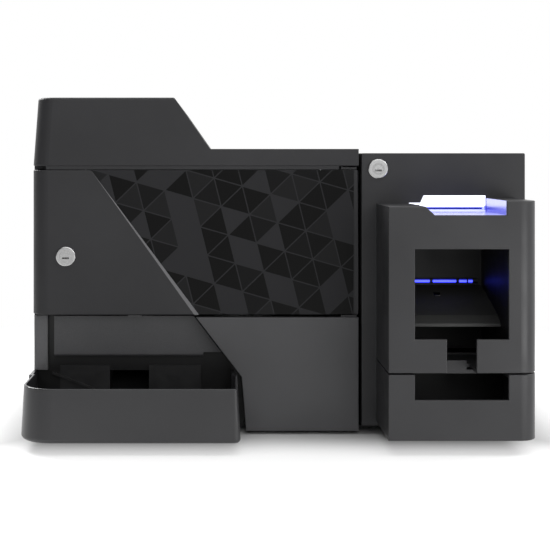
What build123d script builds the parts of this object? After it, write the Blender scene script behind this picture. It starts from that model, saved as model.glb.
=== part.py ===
from build123d import *
import os
from math import atan2, cos, degrees, hypot, radians

os.makedirs("parts", exist_ok=True)

# Automatic cash drawer: a coin recycler (left) and a banknote recycler (right) on one base.
# Millimetres. +X is right seen from the front, +Y is to the rear, +Z is up.
# The origin is on the table, under the middle of the whole unit.

# Whole unit
coin_width = 335.0
module_gap = 3.0
note_width = 167.0
body_depth = 450.0
front_reach = 90.0  # the coin tray and the note bezel stand this far out of the front
foot_height = 3.0

# Heights of the coin recycler's front
skirt_bottom = 3.5
lower_top = 119.5
door_seam = 2.5
door_height = 148.4
hood_seam = 4.1
hood_low = 17.4  # the hood's low right part
hood_rise = 52.7  # and how far the left part stands above it

# Walls, gaps and edges
base_thick = 2.0
sheet = 2.0
skin = 2.5
seam = 0.3
slide_gap = 0.2
run_gap = 0.05
end_gap = 1.0  # beside the ends of rollers and hoppers
cover_depth = 22.0
corner_radius = 17.5
edge_round = 0.8  # broken edges of the moulded fronts
lip_round = 1.2  # upper and lower lips of the door and hood
panel_corner = 1.5

# Hood
hood_draft = 5.2
hood_shelf_length = 152.0  # the low part, from the right side to the slope
hood_slope = 36.7
hood_edge_radius = 3.0
inlet_size = (110.0, 130.0)
inlet_throat = (70.0, 80.0)
inlet_at = (76.0, 140.0)  # its centre, in from the coin recycler's right side and front
funnel_flange = 4.0
funnel_drop = 19.4
funnel_gap = 8.0  # down to the feed bowl
hood_axis_height = 4.5  # above the hood's lower edge
hinge_tab = 10.0
hinge_knuckle = 4.0
hinge_ear = 5.0
hinge_clear = 0.6
hood_open = 55.0  # how far the hood lifts, in degrees
hood_pin_radius = 2.0
hood_hinge_inset = (50.0, 50.0)
rear_recess = 12.0

# Coin door
crease_low = 167.1  # from the left side to the crease, at the door's lower edge
crease_lean = 106.1  # the crease leans back to the left by this much over the door's height
facet_width = 4.5  # the bevel along the crease, at its lower end
pattern_step = 3.5
panel_thick = 1.5
door_wall = 8.0
hinge_corner = 5.0
door_axis = (9.0, 9.5)  # in from the door's right side and front
door_pin_radius = 2.5
door_boss_radius = 5.5
door_boss_length = 11.0
door_relief = 20.0
pivot_width = 16.0
pivot_thick = 2.2
pivot_top_gap = 0.6

# Cam locks
lock_head_radius = 10.2
lock_head = 2.5
lock_barrel_radius = 8.9
lock_plug_radius = 6.0
coin_lock_length = 24.5
note_lock_length = 28.0
key_slot = (7.0, 1.8, 12.0)
key_drop = 1.5  # the keyway is this far below the plug's middle
cam_thick = 2.0
cam_width = 11.0
coin_cam_reach = 26.0
note_cam_reach = 32.0
coin_lock_at = (35.6, 60.0)  # from the left side, and above the door's lower edge
note_lock_at = (16.7, 16.1)  # from the module's left side, and below its top
striker = (20.0, 24.0)

# Lower front of the coin recycler
post_width = 14.4
post_depth = 5.0
post_radius = 4.0
panel_gap = 2.7
outlet_panel_inset = 21.7  # from the left side
outlet_panel_height = 41.9
lip_end = 175.7  # the panel's lower lip, from the left side
lip_step = 4.4
outlet_panel_thick = 8.0
outlet_panel_lip = 3.0
rest_pad = (14.0, 17.5)  # the pad that the closed door rests on: its width and length
outlet_plate_thick = 6.0
outlet_plate_width = 215.0
pad_reach = (27.0, 173.3)  # the raised pads beside the coin mouth, from the left side
pad_height = (40.0, 67.3)
pad_thick = 2.0
rib_start = (19.0, 61.0)  # the coin guide rib, from the left side and the table
rib_end = (63.0, 44.0)
rib_thick = 2.4
rib_proud = 4.5
apron_top = 168.6  # left edge of the lower front panel at its top, from the left side
apron_bend = (215.2, 58.7)
apron_foot = 219.8
mouth_width = 40.5
mouth_bottom = 36.0
mouth_height = 26.0
tray_bottom = 11.3
tray_height = 51.6
tray_width = 213.4
tray_wall = 3.0
tray_lean = 2.9  # the tray's sides lean in by this much over its height
tray_radius_left = 34.0
tray_radius_right = 7.0
tray_neck = 5.4
tray_neck_lap = 12.0
tray_back_height = 21.5
tray_base_radius = 4.0
tray_rim_radius = 1.0

# Inside the coin recycler
belt_roller_radius = 9.0
belt_thick = 1.6
belt_gap = 0.3
belt_width = 36.0
belt_height = 72.0
belt_front = 80.0  # front roller axis behind the body's front
belt_back = 13.0  # rear roller axis in from the hoppers' rear end
journal_radius = 4.0
cheek_height = 90.0
channel_width = 46.0
chute_wall = 2.0
bowl_space = 145.0  # room for the bowl, its motor and the power supply, right of the hoppers
hopper_side_gap = 7.5
hopper_front = 32.0
hopper_gap = 4.0
hopper_back_gap = 8.0
hopper_wall = 3.0
hopper_housing = 93.0
hopper_fall = 22.0
hopper_port = (32.0, 10.0)
deck_height = 192.0
bowl_gap = 3.0  # from the bowl's rim to the centre wall
bowl_flare = 5.0
bowl_wall = 3.0
bowl_floor = 5.0
bowl_gate = (32.0, 14.0)
disc_gap = 5.0
disc_thick = 6.0
disc_hub = (14.0, 8.0)
disc_pockets = 6
disc_pocket_radius = 14.5
disc_rim = 5.5
shaft_radius = 4.0
shaft_length = 50.0
motor_radius = 20.0
motor_length = 54.0
motor_flange = (52.0, 4.0)
validator_size = (60.0, 64.0, 44.0)
board_size = (180.0, 100.0, 1.6)
board_standoff = 4.0
board_height = 70.0
board_behind = 70.0
board_inset = 6.0
chip_size = (26.0, 20.0)
chip_pitch = (44.0, 40.0)
supply_length = 140.0
supply_height = 55.0
supply_gap = (16.0, 19.0)  # to the hoppers and to the centre wall
supply_slot = (32.0, 5.0)
supply_slot_pitch = (12.0, 40.0)
mains_inlet = (27.5, 20.0, 14.0)
mains_flange = (50.0, 24.0, 2.5)
mains_at = 40.0  # in from the coin recycler's right side
pin_pitch = 7.0
data_block = (44.0, 18.0, 12.0)
data_at = 110.0
port_size = (15.0, 11.0, 8.0)
socket_height = 32.0
vent_slot = (28.0, 4.0)
vent_pitch = (36.0, 9.0)
vent_rows = 6
coin_vents = 5
note_vents = 3
fix_spacing = (110.0, 210.0)
fix_at = (76.0, 155.0)  # middle of the counter bolts, in from the right side and front
fix_radius = 3.25
foot_radius = 11.0
screw_head = (3.5, 2.2)
screw_shank = (1.6, 8.0)
screw_inset = 14.0
screw_middle = 166.0

# Banknote recycler
note_bottom = 9.0
note_rise = 13.1  # its top stands this far above the coin recycler's body
note_front_depth = 15.0
note_skin = 3.0
rail_width = 14.0
runner_width = 4.0
runner_length = 100.0
runner_rise = 3.5
runner_behind = 80.0
rail_inset = 11.0
bezel_left = 15.0
bezel_right = 9.7
window_offset = 1.75  # the window's middle, left of the bezel's middle
bezel_bottom = 14.4
cassette_front_height = 62.6
bezel_seam = 1.5
sill_height = 31.9  # from the bezel's lower edge up to the window
window_height = 85.3
inlet_above = 40.3  # from the window up to the bezel's left shoulder
bezel_right_rise = 5.5
bezel_radius = 17.0
bezel_wall = 3.5
window_width = 88.7
notch_width = 28.0
notch_depth = 34.0
pull_sill = 38.6  # from the cassette front's lower edge up to the finger pull
bay_wall = 2.0
bay_depth = 119.0
bay_lift = 5.5
plate_lift = 39.6  # the note plate's rear edge above the window's sill
plate_fold = (74.0, 22.0)
plate_lip = (11.0, 7.0)
plate_thick = 3.0
light_bar = (80.0, 4.0, 3.0)
light_lift = 3.0  # above the note plate
channel_depth = 8.0  # the note inlet's channel in the bezel's top
channel_length = 76.5
channel_slant = 8.5
channel_right = 30.3  # from the channel to the bezel's right side
liner = 1.5
slot_width = 85.5
slot_above = 8.4  # the lit slot frame stands this far above the bezel's shoulder
slot_drop = 3.8  # the slot's middle below the shoulder
slot_gap = 4.6
slot_margin = 1.3
slot_inset = 0.5
slot_frame = 10.0
note_roller_radius = 9.0
note_roller_behind = 53.0
nip_gap = 0.3
note_cheek = (3.0, 34.6, 28.0)
cheek_inset = (20.0, 19.0)  # from the module's left and right walls
head_behind = 6.0  # from the rollers to the validator's body
head_length = 132.0
head_lift = 7.3  # above the note bay
head_gap = 9.7  # below the module's top
cassette_inset = 22.5  # from the module's sides
cassette_length = 330.0
cassette_drop = 3.0
cassette_wall = 2.0
pull_depth = 28.0
pull_tab = (20.2, 3.0, 9.0)

# Places that follow from these sizes
left_x = -(coin_width + module_gap + note_width) / 2
coin_right = left_x + coin_width
note_left = coin_right + module_gap
note_right = note_left + note_width
proud_y = -(body_depth + front_reach) / 2
front_y = proud_y + front_reach
rear_y = front_y + body_depth
cover_back = front_y + cover_depth
floor_z = foot_height + base_thick
door_bottom = lower_top + door_seam
door_top = door_bottom + door_height
hood_bottom = door_top + hood_seam
hood_shelf = hood_bottom + hood_low
hood_top = hood_shelf + hood_rise
wall_top = hood_bottom - seam
wall_front = cover_back + seam
inner_left = left_x + skin
inner_right = coin_right - sheet
rear_panel_back = rear_y - rear_recess
rear_panel_front = rear_panel_back - sheet
note_top_z = hood_bottom + note_rise
note_panel_back = front_y + note_front_depth
coin_lock_x = left_x + coin_lock_at[0]
coin_lock_z = door_bottom + coin_lock_at[1]
note_lock_x = note_left + note_lock_at[0]
note_lock_z = note_top_z - note_lock_at[1]
pivot_x = coin_right - door_axis[0]
pivot_y = front_y + door_axis[1]
hood_axis_y = (rear_panel_front + rear_panel_back) / 2
hood_axis_z = hood_bottom + hood_axis_height
hood_sweep = (rear_y - hood_axis_y) / cos(radians(hood_open / 2)) + hinge_clear
bowl_x = coin_right - inlet_at[0]
bowl_y = front_y + inlet_at[1]
deck_top = deck_height + sheet
hopper_space = inner_right - inner_left - bowl_space - hopper_side_gap - channel_width - 2 * end_gap
hopper_width = hopper_space / 2
hopper_length = (rear_panel_front - hopper_back_gap - front_y - hopper_front - hopper_gap) / 2
hopper_pitch = hopper_length + hopper_gap
mouth_x = inner_left + hopper_side_gap + hopper_width + end_gap + channel_width / 2
hopper_end = mouth_x + channel_width / 2 + end_gap + hopper_width
belt_y = front_y + belt_front
belt_span = hopper_front + hopper_pitch + hopper_length - belt_back - belt_front


def block(x_span, y_span, z_span, mode=Mode.ADD):
    """A box between two limits along each axis."""
    spans = (x_span, y_span, z_span)
    with Locations(tuple((low + high) / 2 for low, high in spans)):
        Box(*(high - low for low, high in spans), mode=mode)


def rod_x(y, z, x_span, radius, mode=Mode.ADD):
    """A round bar or bore along X."""
    with Locations((sum(x_span) / 2, y, z)):
        Cylinder(radius, x_span[1] - x_span[0], rotation=(0, 90, 0), mode=mode)


def rod_y(x, z, y_span, radius, mode=Mode.ADD):
    """A round bar or bore along Y."""
    with Locations((x, sum(y_span) / 2, z)):
        Cylinder(radius, y_span[1] - y_span[0], rotation=(90, 0, 0), mode=mode)


def rod_z(x, y, z_span, radius, mode=Mode.ADD):
    """A round bar or bore along Z."""
    with Locations((x, y, sum(z_span) / 2)):
        Cylinder(radius, z_span[1] - z_span[0], mode=mode)


def prism_xz(points, y_span, mode=Mode.ADD):
    """A profile seen from the front, carried along Y."""
    with BuildSketch(Plane.XZ.offset(-y_span[1])) as profile:
        with BuildLine():
            Polyline(*points, close=True)
        make_face()
    extrude(profile.sketch, amount=y_span[1] - y_span[0], mode=mode)


def prism_yz(points, x_span, mode=Mode.ADD):
    """A profile seen from the right, carried along X."""
    with BuildSketch(Plane.YZ.offset(x_span[0])) as profile:
        with BuildLine():
            Polyline(*points, close=True)
        make_face()
    extrude(profile.sketch, amount=x_span[1] - x_span[0], mode=mode)


# Base and casing of the coin recycler

base_span = (inner_left, note_right - 2 * sheet)
fix_centre = (coin_right - fix_at[0], front_y + fix_at[1])
with BuildPart() as base_plate:
    with BuildSketch(Plane.XY.offset(foot_height)):
        with Locations((sum(base_span) / 2, (cover_back + rear_y - 2 * sheet) / 2)):
            Rectangle(base_span[1] - base_span[0], rear_y - 2 * sheet - cover_back)
        with Locations(fix_centre):
            with GridLocations(*fix_spacing, 2, 2):
                Circle(fix_radius, mode=Mode.SUBTRACT)
    extrude(amount=base_thick)

foot_inset = 2 * foot_radius
with BuildPart() as rubber_feet:
    with BuildSketch():
        with Locations((sum(base_span) / 2, (cover_back + rear_y) / 2)):
            with GridLocations((base_span[1] - base_span[0]) / 2 - foot_inset,
                               rear_y - cover_back - 2 * foot_inset, 3, 2):
                Circle(foot_radius)
    extrude(amount=foot_height)
    chamfer(rubber_feet.edges().group_by(Axis.Z)[0], foot_height / 4)

with BuildPart() as left_side_panel:
    block((left_x, inner_left), (wall_front, rear_y), (skirt_bottom, wall_top))
    block((inner_left, inner_left + striker[0]), (wall_front, wall_front + sheet),
          (coin_lock_z - striker[1] / 2, coin_lock_z + striker[1] / 2))
    rod_x(hood_axis_y, hood_axis_z, (left_x, inner_left), hood_sweep, Mode.SUBTRACT)

note_cam_front = front_y + note_lock_length
cam_slot_y = (note_cam_front - cam_thick, note_cam_front + 2 * cam_thick)
cam_slot_z = (note_lock_z - note_cam_reach - cam_thick, note_lock_z - cam_width / 2)
with BuildPart() as centre_wall:
    block((inner_right, coin_right), (wall_front, rear_y), (floor_z, wall_top))
    block((inner_right, coin_right), cam_slot_y, cam_slot_z, Mode.SUBTRACT)
    rod_x(hood_axis_y, hood_axis_z, (inner_right, coin_right), hood_sweep, Mode.SUBTRACT)

hinge_spots = (left_x + hood_hinge_inset[0], coin_right - hood_hinge_inset[1])
rear_top = hood_bottom - hood_seam
mains_x = coin_right - mains_at
data_x = coin_right - data_at
socket_z = floor_z + socket_height
screw_columns = (inner_left + screw_inset, coin_right - screw_middle, inner_right - screw_inset)
screw_spots = [(x, z) for x in screw_columns for z in (floor_z + screw_inset, rear_top - screw_inset)]
with BuildPart() as rear_panel:
    block((inner_left, inner_right), (rear_panel_front, rear_panel_back), (floor_z, wall_top))
    for corner in ((inner_left, inner_left + skin), (inner_right - skin, inner_right)):
        rod_x(hood_axis_y, hood_axis_z, corner, hood_sweep, Mode.SUBTRACT)
    for spot in hinge_spots:
        ear_room = (spot, spot + 2 * (hinge_tab + seam))
        block(ear_room, (rear_panel_front, rear_panel_back), (rear_top, wall_top), Mode.SUBTRACT)
        block((spot, spot + hinge_tab), (rear_panel_front, rear_panel_back), (rear_top, hood_axis_z))
        rod_x(hood_axis_y, hood_axis_z, (spot, spot + hinge_tab), hinge_knuckle)
        rod_x(hood_axis_y, hood_axis_z, (spot, spot + hinge_tab), hood_pin_radius, Mode.SUBTRACT)
    block((mains_x - mains_inlet[0] / 2, mains_x + mains_inlet[0] / 2),
          (rear_panel_front, rear_panel_back),
          (socket_z - mains_inlet[1] / 2, socket_z + mains_inlet[1] / 2), Mode.SUBTRACT)
    block((data_x - data_block[0] / 2, data_x + data_block[0] / 2),
          (rear_panel_front, rear_panel_back),
          (socket_z - data_block[1] / 2, socket_z + data_block[1] / 2), Mode.SUBTRACT)
    for x, z in screw_spots:
        rod_y(x, z, (rear_panel_front, rear_panel_back), screw_shank[0], Mode.SUBTRACT)
    with BuildSketch(Plane.XZ.offset(-rear_panel_back)):
        with Locations(((inner_left + inner_right) / 2, sum((floor_z, rear_top)) / 2)):
            with GridLocations(*vent_pitch, coin_vents, vent_rows):
                SlotOverall(*vent_slot)
    extrude(amount=sheet, mode=Mode.SUBTRACT)

with BuildPart() as rear_screws:
    for x, z in screw_spots:
        rod_y(x, z, (rear_panel_back, rear_panel_back + screw_head[1]), screw_head[0])
        rod_y(x, z, (rear_panel_back - screw_shank[1], rear_panel_back), screw_shank[0])

with BuildPart() as hood_hinge_pins:
    for spot in hinge_spots:
        rod_x(hood_axis_y, hood_axis_z, (spot, spot + 2 * hinge_tab + seam), hood_pin_radius)

apron_points = [(left_x + apron_top, lower_top), (coin_right, lower_top), (coin_right, skirt_bottom),
                (left_x + apron_foot, skirt_bottom), (left_x + apron_bend[0], apron_bend[1])]
with BuildPart() as lower_front_panel:
    prism_xz(apron_points, (front_y, cover_back))
    fillet(lower_front_panel.faces().sort_by(Axis.Y)[0].edges(), edge_round)
    with BuildSketch(Plane.XZ.offset(-cover_back)):
        with BuildLine():
            Polyline(*apron_points, close=True)
        make_face()
        offset(amount=-skin, kind=Kind.INTERSECTION)
    extrude(amount=cover_depth - skin, mode=Mode.SUBTRACT)

tray_rim = tray_bottom + tray_height
with BuildPart() as left_post:
    with BuildSketch(Plane.XY.offset(tray_rim + seam)) as post_plan:
        with Locations((left_x + post_width / 2, cover_back - post_depth / 2)):
            Rectangle(post_width, post_depth)
        fillet(post_plan.vertices().group_by(Axis.Y)[0].sort_by(Axis.X)[0], post_radius)
    extrude(amount=lower_top - tray_rim - seam)

apron_lean = (apron_bend[0] - apron_top) / (lower_top - apron_bend[1])
outlet_left = left_x + outlet_panel_inset
outlet_right = left_x + apron_top - panel_gap
with BuildPart() as outlet_panel:
    prism_xz([(outlet_left, lower_top), (outlet_right, lower_top),
              (outlet_right + apron_lean * outlet_panel_height, lower_top - outlet_panel_height),
              (outlet_left, lower_top - outlet_panel_height)],
             (cover_back - outlet_panel_thick, cover_back))
    fillet(outlet_panel.edges().filter_by(Axis.X).group_by(Axis.Z)[0].sort_by(Axis.Y)[0], outlet_panel_lip)
    block((left_x + lip_end, inner_right), (cover_back - outlet_panel_thick, cover_back),
          (lower_top - outlet_panel_height, lower_top - outlet_panel_height + lip_step), Mode.SUBTRACT)
    block((mouth_x - seam, mouth_x - seam + rest_pad[0]), (cover_back - rest_pad[1], cover_back),
          (lower_top, door_bottom - seam))

outlet_back = cover_back + outlet_plate_thick
mouth_span = (mouth_x - mouth_width / 2, mouth_x + mouth_width / 2)
rib_x = (left_x + rib_start[0], left_x + rib_end[0])
with BuildPart() as outlet_plate:
    block((inner_left, inner_left + outlet_plate_width), (cover_back, outlet_back), (floor_z, lower_top))
    for pad_x in ((left_x + pad_reach[0], mouth_span[0]), (mouth_span[1], left_x + pad_reach[1])):
        block(pad_x, (cover_back - pad_thick, cover_back), pad_height)
    prism_xz([(rib_x[0], rib_start[1]), (rib_x[1], rib_end[1]), (rib_x[1], rib_end[1] - rib_thick),
              (rib_x[0], rib_start[1] - rib_thick)], (cover_back - rib_proud, cover_back))
    block(mouth_span, (cover_back - rib_proud, outlet_back), (mouth_bottom, mouth_bottom + mouth_height),
          Mode.SUBTRACT)

tray_neck_y = front_y - seam
tray_end = left_x + tray_width
neck_end = tray_end - tray_neck
tray_taper = degrees(atan2(tray_lean, tray_height))


def tray_plan(inset, height):
    """The tray's front part seen from above, drawn in by a wall thickness."""
    with BuildSketch(Plane.XY.offset(height)) as plan:
        with Locations(((left_x + tray_end) / 2, (proud_y + tray_neck_y) / 2)):
            Rectangle(tray_width - 2 * inset, tray_neck_y - proud_y - 2 * inset)
        fillet(plan.vertices().group_by(Axis.Y)[0].sort_by(Axis.X)[0], tray_radius_left - inset)
        fillet(plan.vertices().group_by(Axis.Y)[0].sort_by(Axis.X)[-1], tray_radius_right - inset)
    return plan.sketch


with BuildPart() as coin_tray:
    extrude(tray_plan(0, tray_bottom), amount=tray_height, taper=tray_taper)
    fillet(coin_tray.faces().sort_by(Axis.Z)[0].edges().group_by(Axis.Y)[0], tray_base_radius)
    block((left_x, neck_end), (tray_neck_y - tray_neck_lap, cover_back), (tray_bottom, tray_rim))
    extrude(tray_plan(tray_wall, tray_bottom + tray_wall), amount=tray_height - tray_wall,
            taper=tray_taper, mode=Mode.SUBTRACT)
    block((left_x + tray_wall, neck_end - tray_wall), (tray_neck_y - 2 * tray_wall, cover_back - tray_wall),
          (tray_bottom + tray_wall, tray_rim), Mode.SUBTRACT)
    block((left_x + tray_wall, neck_end - tray_wall), (cover_back - tray_wall, cover_back),
          (tray_bottom + tray_back_height, tray_rim), Mode.SUBTRACT)
    rim = coin_tray.edges().group_by(Axis.Z)[-1]
    fillet(rim.filter_by(lambda e: e.center().Y < tray_neck_y - tray_neck_lap), tray_rim_radius)

# Coin transport and stores

channel_span = (mouth_x - channel_width / 2, mouth_x + channel_width / 2)
channel_front = belt_y - belt_roller_radius - belt_thick - seam
channel_back = belt_y + belt_span + belt_roller_radius + belt_thick + seam
roller_spots = (belt_y, belt_y + belt_span)
with BuildPart() as belt_channel:
    block(channel_span, (channel_front, channel_back), (floor_z, floor_z + cheek_height))
    block((channel_span[0] + sheet, channel_span[1] - sheet), (channel_front, channel_back),
          (floor_z + sheet, floor_z + cheek_height), Mode.SUBTRACT)
    for y in roller_spots:
        rod_x(y, belt_height, channel_span, journal_radius + run_gap, Mode.SUBTRACT)


def belt_roller(y):
    """A belt roller with its two journals, carried by the channel's cheeks."""
    with BuildPart() as roller:
        rod_x(y, belt_height, (mouth_x - belt_width / 2 - end_gap, mouth_x + belt_width / 2 + end_gap),
              belt_roller_radius)
        rod_x(y, belt_height, channel_span, journal_radius)
    return roller


belt_drive_roller = belt_roller(roller_spots[0])
belt_idler_roller = belt_roller(roller_spots[1])

belt_inner = belt_roller_radius + belt_gap
with BuildPart() as payout_belt:
    with BuildSketch(Plane.YZ.offset(mouth_x - belt_width / 2)):
        with Locations((belt_y + belt_span / 2, belt_height)):
            SlotCenterToCenter(belt_span, 2 * (belt_inner + belt_thick))
            SlotCenterToCenter(belt_span, 2 * belt_inner, mode=Mode.SUBTRACT)
    extrude(amount=belt_width)

chute_back = channel_front - seam
chute_lift = belt_height - belt_roller_radius - 2 * chute_wall
chute_span = (mouth_span[0] - chute_wall, mouth_span[1] + chute_wall)
with BuildPart() as coin_chute:
    prism_yz([(outlet_back, mouth_bottom - chute_wall), (outlet_back, mouth_bottom + mouth_height),
              (chute_back, chute_lift + mouth_height), (chute_back, chute_lift - chute_wall)], chute_span)
    prism_yz([(outlet_back, mouth_bottom), (outlet_back, mouth_bottom + 2 * mouth_height),
              (chute_back, chute_lift + 2 * mouth_height), (chute_back, chute_lift)],
             mouth_span, Mode.SUBTRACT)

bin_length = (hopper_length - 3 * hopper_wall) / 2
hopper_top = deck_height - seam
hopper_floor = floor_z + hopper_housing


def twin_hopper(side, row):
    """Two coin bins on one payout housing; side is -1 left of the belt and +1 right of it."""
    near = mouth_x + side * (channel_width / 2 + end_gap)
    far = near + side * hopper_width
    y_start = front_y + hopper_front + row * hopper_pitch
    with BuildPart() as hopper:
        block(sorted((near, far)), (y_start, y_start + hopper_length), (floor_z, hopper_top))
        for index in range(2):
            bin_y = y_start + hopper_wall + index * (bin_length + hopper_wall)
            bin_near = near + side * hopper_wall
            bin_far = far - side * hopper_wall
            prism_xz([(bin_near, hopper_floor), (bin_far, hopper_floor + hopper_fall), (bin_far, hopper_top),
                      (bin_near, hopper_top)], (bin_y, bin_y + bin_length), Mode.SUBTRACT)
            port_y = bin_y + bin_length / 2
            block(sorted((near, near + side * hopper_wall)),
                  (port_y - hopper_port[0] / 2, port_y + hopper_port[0] / 2),
                  (hopper_floor, hopper_floor + hopper_port[1]), Mode.SUBTRACT)
    return hopper


hoppers = {
    "hopper_front_left": twin_hopper(-1, 0),
    "hopper_rear_left": twin_hopper(-1, 1),
    "hopper_front_right": twin_hopper(1, 0),
    "hopper_rear_right": twin_hopper(1, 1),
}

bins_front = front_y + hopper_front + hopper_wall
bins_back = front_y + hopper_front + hopper_pitch + hopper_length - hopper_wall
with BuildPart() as sort_deck:
    block((inner_left, inner_right), (front_y + hopper_front, rear_panel_front), (deck_height, deck_top))
    for side in (-1, 1):
        row_x = mouth_x + side * (channel_width / 2 + end_gap + hopper_width / 2)
        block((row_x - hopper_width / 2 + hopper_wall, row_x + hopper_width / 2 - hopper_wall),
              (bins_front, bins_back), (deck_height, deck_top), Mode.SUBTRACT)
    rod_z(bowl_x, bowl_y, (deck_height, deck_top), shaft_radius + sheet, Mode.SUBTRACT)

bowl_top = hood_shelf - skin - funnel_drop - funnel_gap
bowl_radius = inner_right - bowl_x - bowl_gap - bowl_flare
disc_radius = bowl_radius - bowl_wall - disc_gap
with BuildPart() as feed_bowl:
    with BuildSketch(Plane.XZ.offset(-bowl_y)):
        with BuildLine():
            Polyline((bowl_x + shaft_radius + sheet, deck_top), (bowl_x + bowl_radius, deck_top),
                     (bowl_x + bowl_radius + bowl_flare, bowl_top),
                     (bowl_x + bowl_radius + bowl_flare - bowl_wall, bowl_top),
                     (bowl_x + bowl_radius - bowl_wall, deck_top + bowl_floor),
                     (bowl_x + shaft_radius + sheet, deck_top + bowl_floor), close=True)
        make_face()
    revolve(axis=Axis((bowl_x, bowl_y, 0), (0, 0, 1)))
    block((bowl_x - bowl_gate[0] / 2, bowl_x + bowl_gate[0] / 2), (bowl_y, bowl_y + 2 * bowl_radius),
          (deck_top + bowl_floor, deck_top + bowl_floor + bowl_gate[1]), Mode.SUBTRACT)

disc_z = deck_top + bowl_floor + seam
with BuildPart() as feed_disc:
    with BuildSketch(Plane.XY.offset(disc_z)):
        with Locations((bowl_x, bowl_y)):
            Circle(disc_radius)
            with PolarLocations(disc_radius - disc_rim - disc_pocket_radius, disc_pockets):
                Circle(disc_pocket_radius, mode=Mode.SUBTRACT)
    extrude(amount=disc_thick)
    rod_z(bowl_x, bowl_y, (disc_z, disc_z + disc_thick + disc_hub[1]), disc_hub[0])
    rod_z(bowl_x, bowl_y, (disc_z - shaft_length, disc_z), shaft_radius)

with BuildPart() as feed_motor:
    rod_z(bowl_x, bowl_y, (deck_height - motor_length, deck_height), motor_radius)
    block((bowl_x - motor_flange[0] / 2, bowl_x + motor_flange[0] / 2),
          (bowl_y - motor_flange[0] / 2, bowl_y + motor_flange[0] / 2),
          (deck_height - motor_flange[1], deck_height))
    rod_z(bowl_x, bowl_y, (disc_z - shaft_length - seam, deck_height), shaft_radius + run_gap,
          Mode.SUBTRACT)

validator_y = bowl_y + bowl_radius + bowl_flare + seam
with BuildPart() as coin_validator:
    block((bowl_x - validator_size[0] / 2, bowl_x + validator_size[0] / 2),
          (validator_y, validator_y + validator_size[1]), (deck_top, deck_top + validator_size[2]))
    fillet(coin_validator.edges().filter_by(Axis.Z), hinge_corner)

board_x = inner_right - board_standoff - board_size[2]
board_y = front_y + board_behind
with BuildPart() as control_board:
    block((board_x, board_x + board_size[2]), (board_y, board_y + board_size[0]),
          (board_height, board_height + board_size[1]))
    with BuildSketch(Plane.YZ.offset(board_x + board_size[2])):
        with Locations((board_y + board_size[0] / 2, board_height + board_size[1] / 2)):
            with GridLocations(board_size[0] - 2 * board_inset, board_size[1] - 2 * board_inset, 2, 2):
                Circle(board_standoff * 3 / 4)
    extrude(amount=board_standoff)
    with BuildSketch(Plane.YZ.offset(board_x)):
        with Locations((board_y + board_size[0] / 2, board_height + board_size[1] / 2)):
            with GridLocations(*chip_pitch, 3, 2):
                Rectangle(*chip_size)
    extrude(amount=-board_standoff)

supply_x = (hopper_end + supply_gap[0], inner_right - supply_gap[1])
supply_y = rear_panel_front - mains_inlet[2] - seam
with BuildPart() as power_supply:
    block(supply_x, (supply_y - supply_length, supply_y), (floor_z, floor_z + supply_height))
    with BuildSketch(Plane.XY.offset(floor_z + supply_height)):
        with Locations((sum(supply_x) / 2, supply_y - supply_length / 2)):
            with GridLocations(*supply_slot_pitch, 7, 2):
                SlotOverall(*supply_slot, rotation=90)
    extrude(amount=-sheet, mode=Mode.SUBTRACT)

with BuildPart() as power_inlet:
    block((mains_x - mains_flange[0] / 2, mains_x + mains_flange[0] / 2),
          (rear_panel_back, rear_panel_back + mains_flange[2]),
          (socket_z - mains_flange[1] / 2, socket_z + mains_flange[1] / 2))
    block((mains_x - mains_inlet[0] / 2, mains_x + mains_inlet[0] / 2),
          (rear_panel_back - mains_inlet[2], rear_panel_back),
          (socket_z - mains_inlet[1] / 2, socket_z + mains_inlet[1] / 2))
    block((mains_x - mains_inlet[0] / 2 + sheet, mains_x + mains_inlet[0] / 2 - sheet),
          (rear_panel_back - mains_inlet[2] + sheet, rear_panel_back + mains_flange[2]),
          (socket_z - mains_inlet[1] / 2 + sheet, socket_z + mains_inlet[1] / 2 - sheet), Mode.SUBTRACT)
    for step in (-1, 0, 1):
        block((mains_x + step * pin_pitch - sheet / 2, mains_x + step * pin_pitch + sheet / 2),
              (rear_panel_back - mains_inlet[2] + sheet, rear_panel_back - sheet),
              (socket_z - sheet, socket_z + sheet))

with BuildPart() as data_ports:
    block((data_x - data_block[0] / 2, data_x + data_block[0] / 2),
          (rear_panel_back + sheet - data_block[2], rear_panel_back + sheet),
          (socket_z - data_block[1] / 2, socket_z + data_block[1] / 2))
    for step in (-1, 1):
        port_x = data_x + step * data_block[0] / 4
        block((port_x - port_size[0] / 2, port_x + port_size[0] / 2),
              (rear_panel_back + sheet - port_size[2], rear_panel_back + sheet),
              (socket_z - port_size[1] / 2, socket_z + port_size[1] / 2), Mode.SUBTRACT)

# Coin door with its pivots and lock

pivot_span_x = (inner_right - pivot_width, inner_right)
pivot_span_y = (front_y + skin, wall_front + 3 * skin)
top_pivot_z = door_top + pivot_top_gap
pin_reach = door_boss_length - sheet
with BuildPart() as door_pivots:
    block(pivot_span_x, pivot_span_y, (lower_top, lower_top + pivot_thick))
    rod_z(pivot_x, pivot_y, (lower_top, door_bottom + pin_reach), door_pin_radius)
    block(pivot_span_x, pivot_span_y, (top_pivot_z, top_pivot_z + pivot_thick))
    rod_z(pivot_x, pivot_y, (door_top - pin_reach, top_pivot_z + pivot_thick), door_pin_radius)

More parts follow.
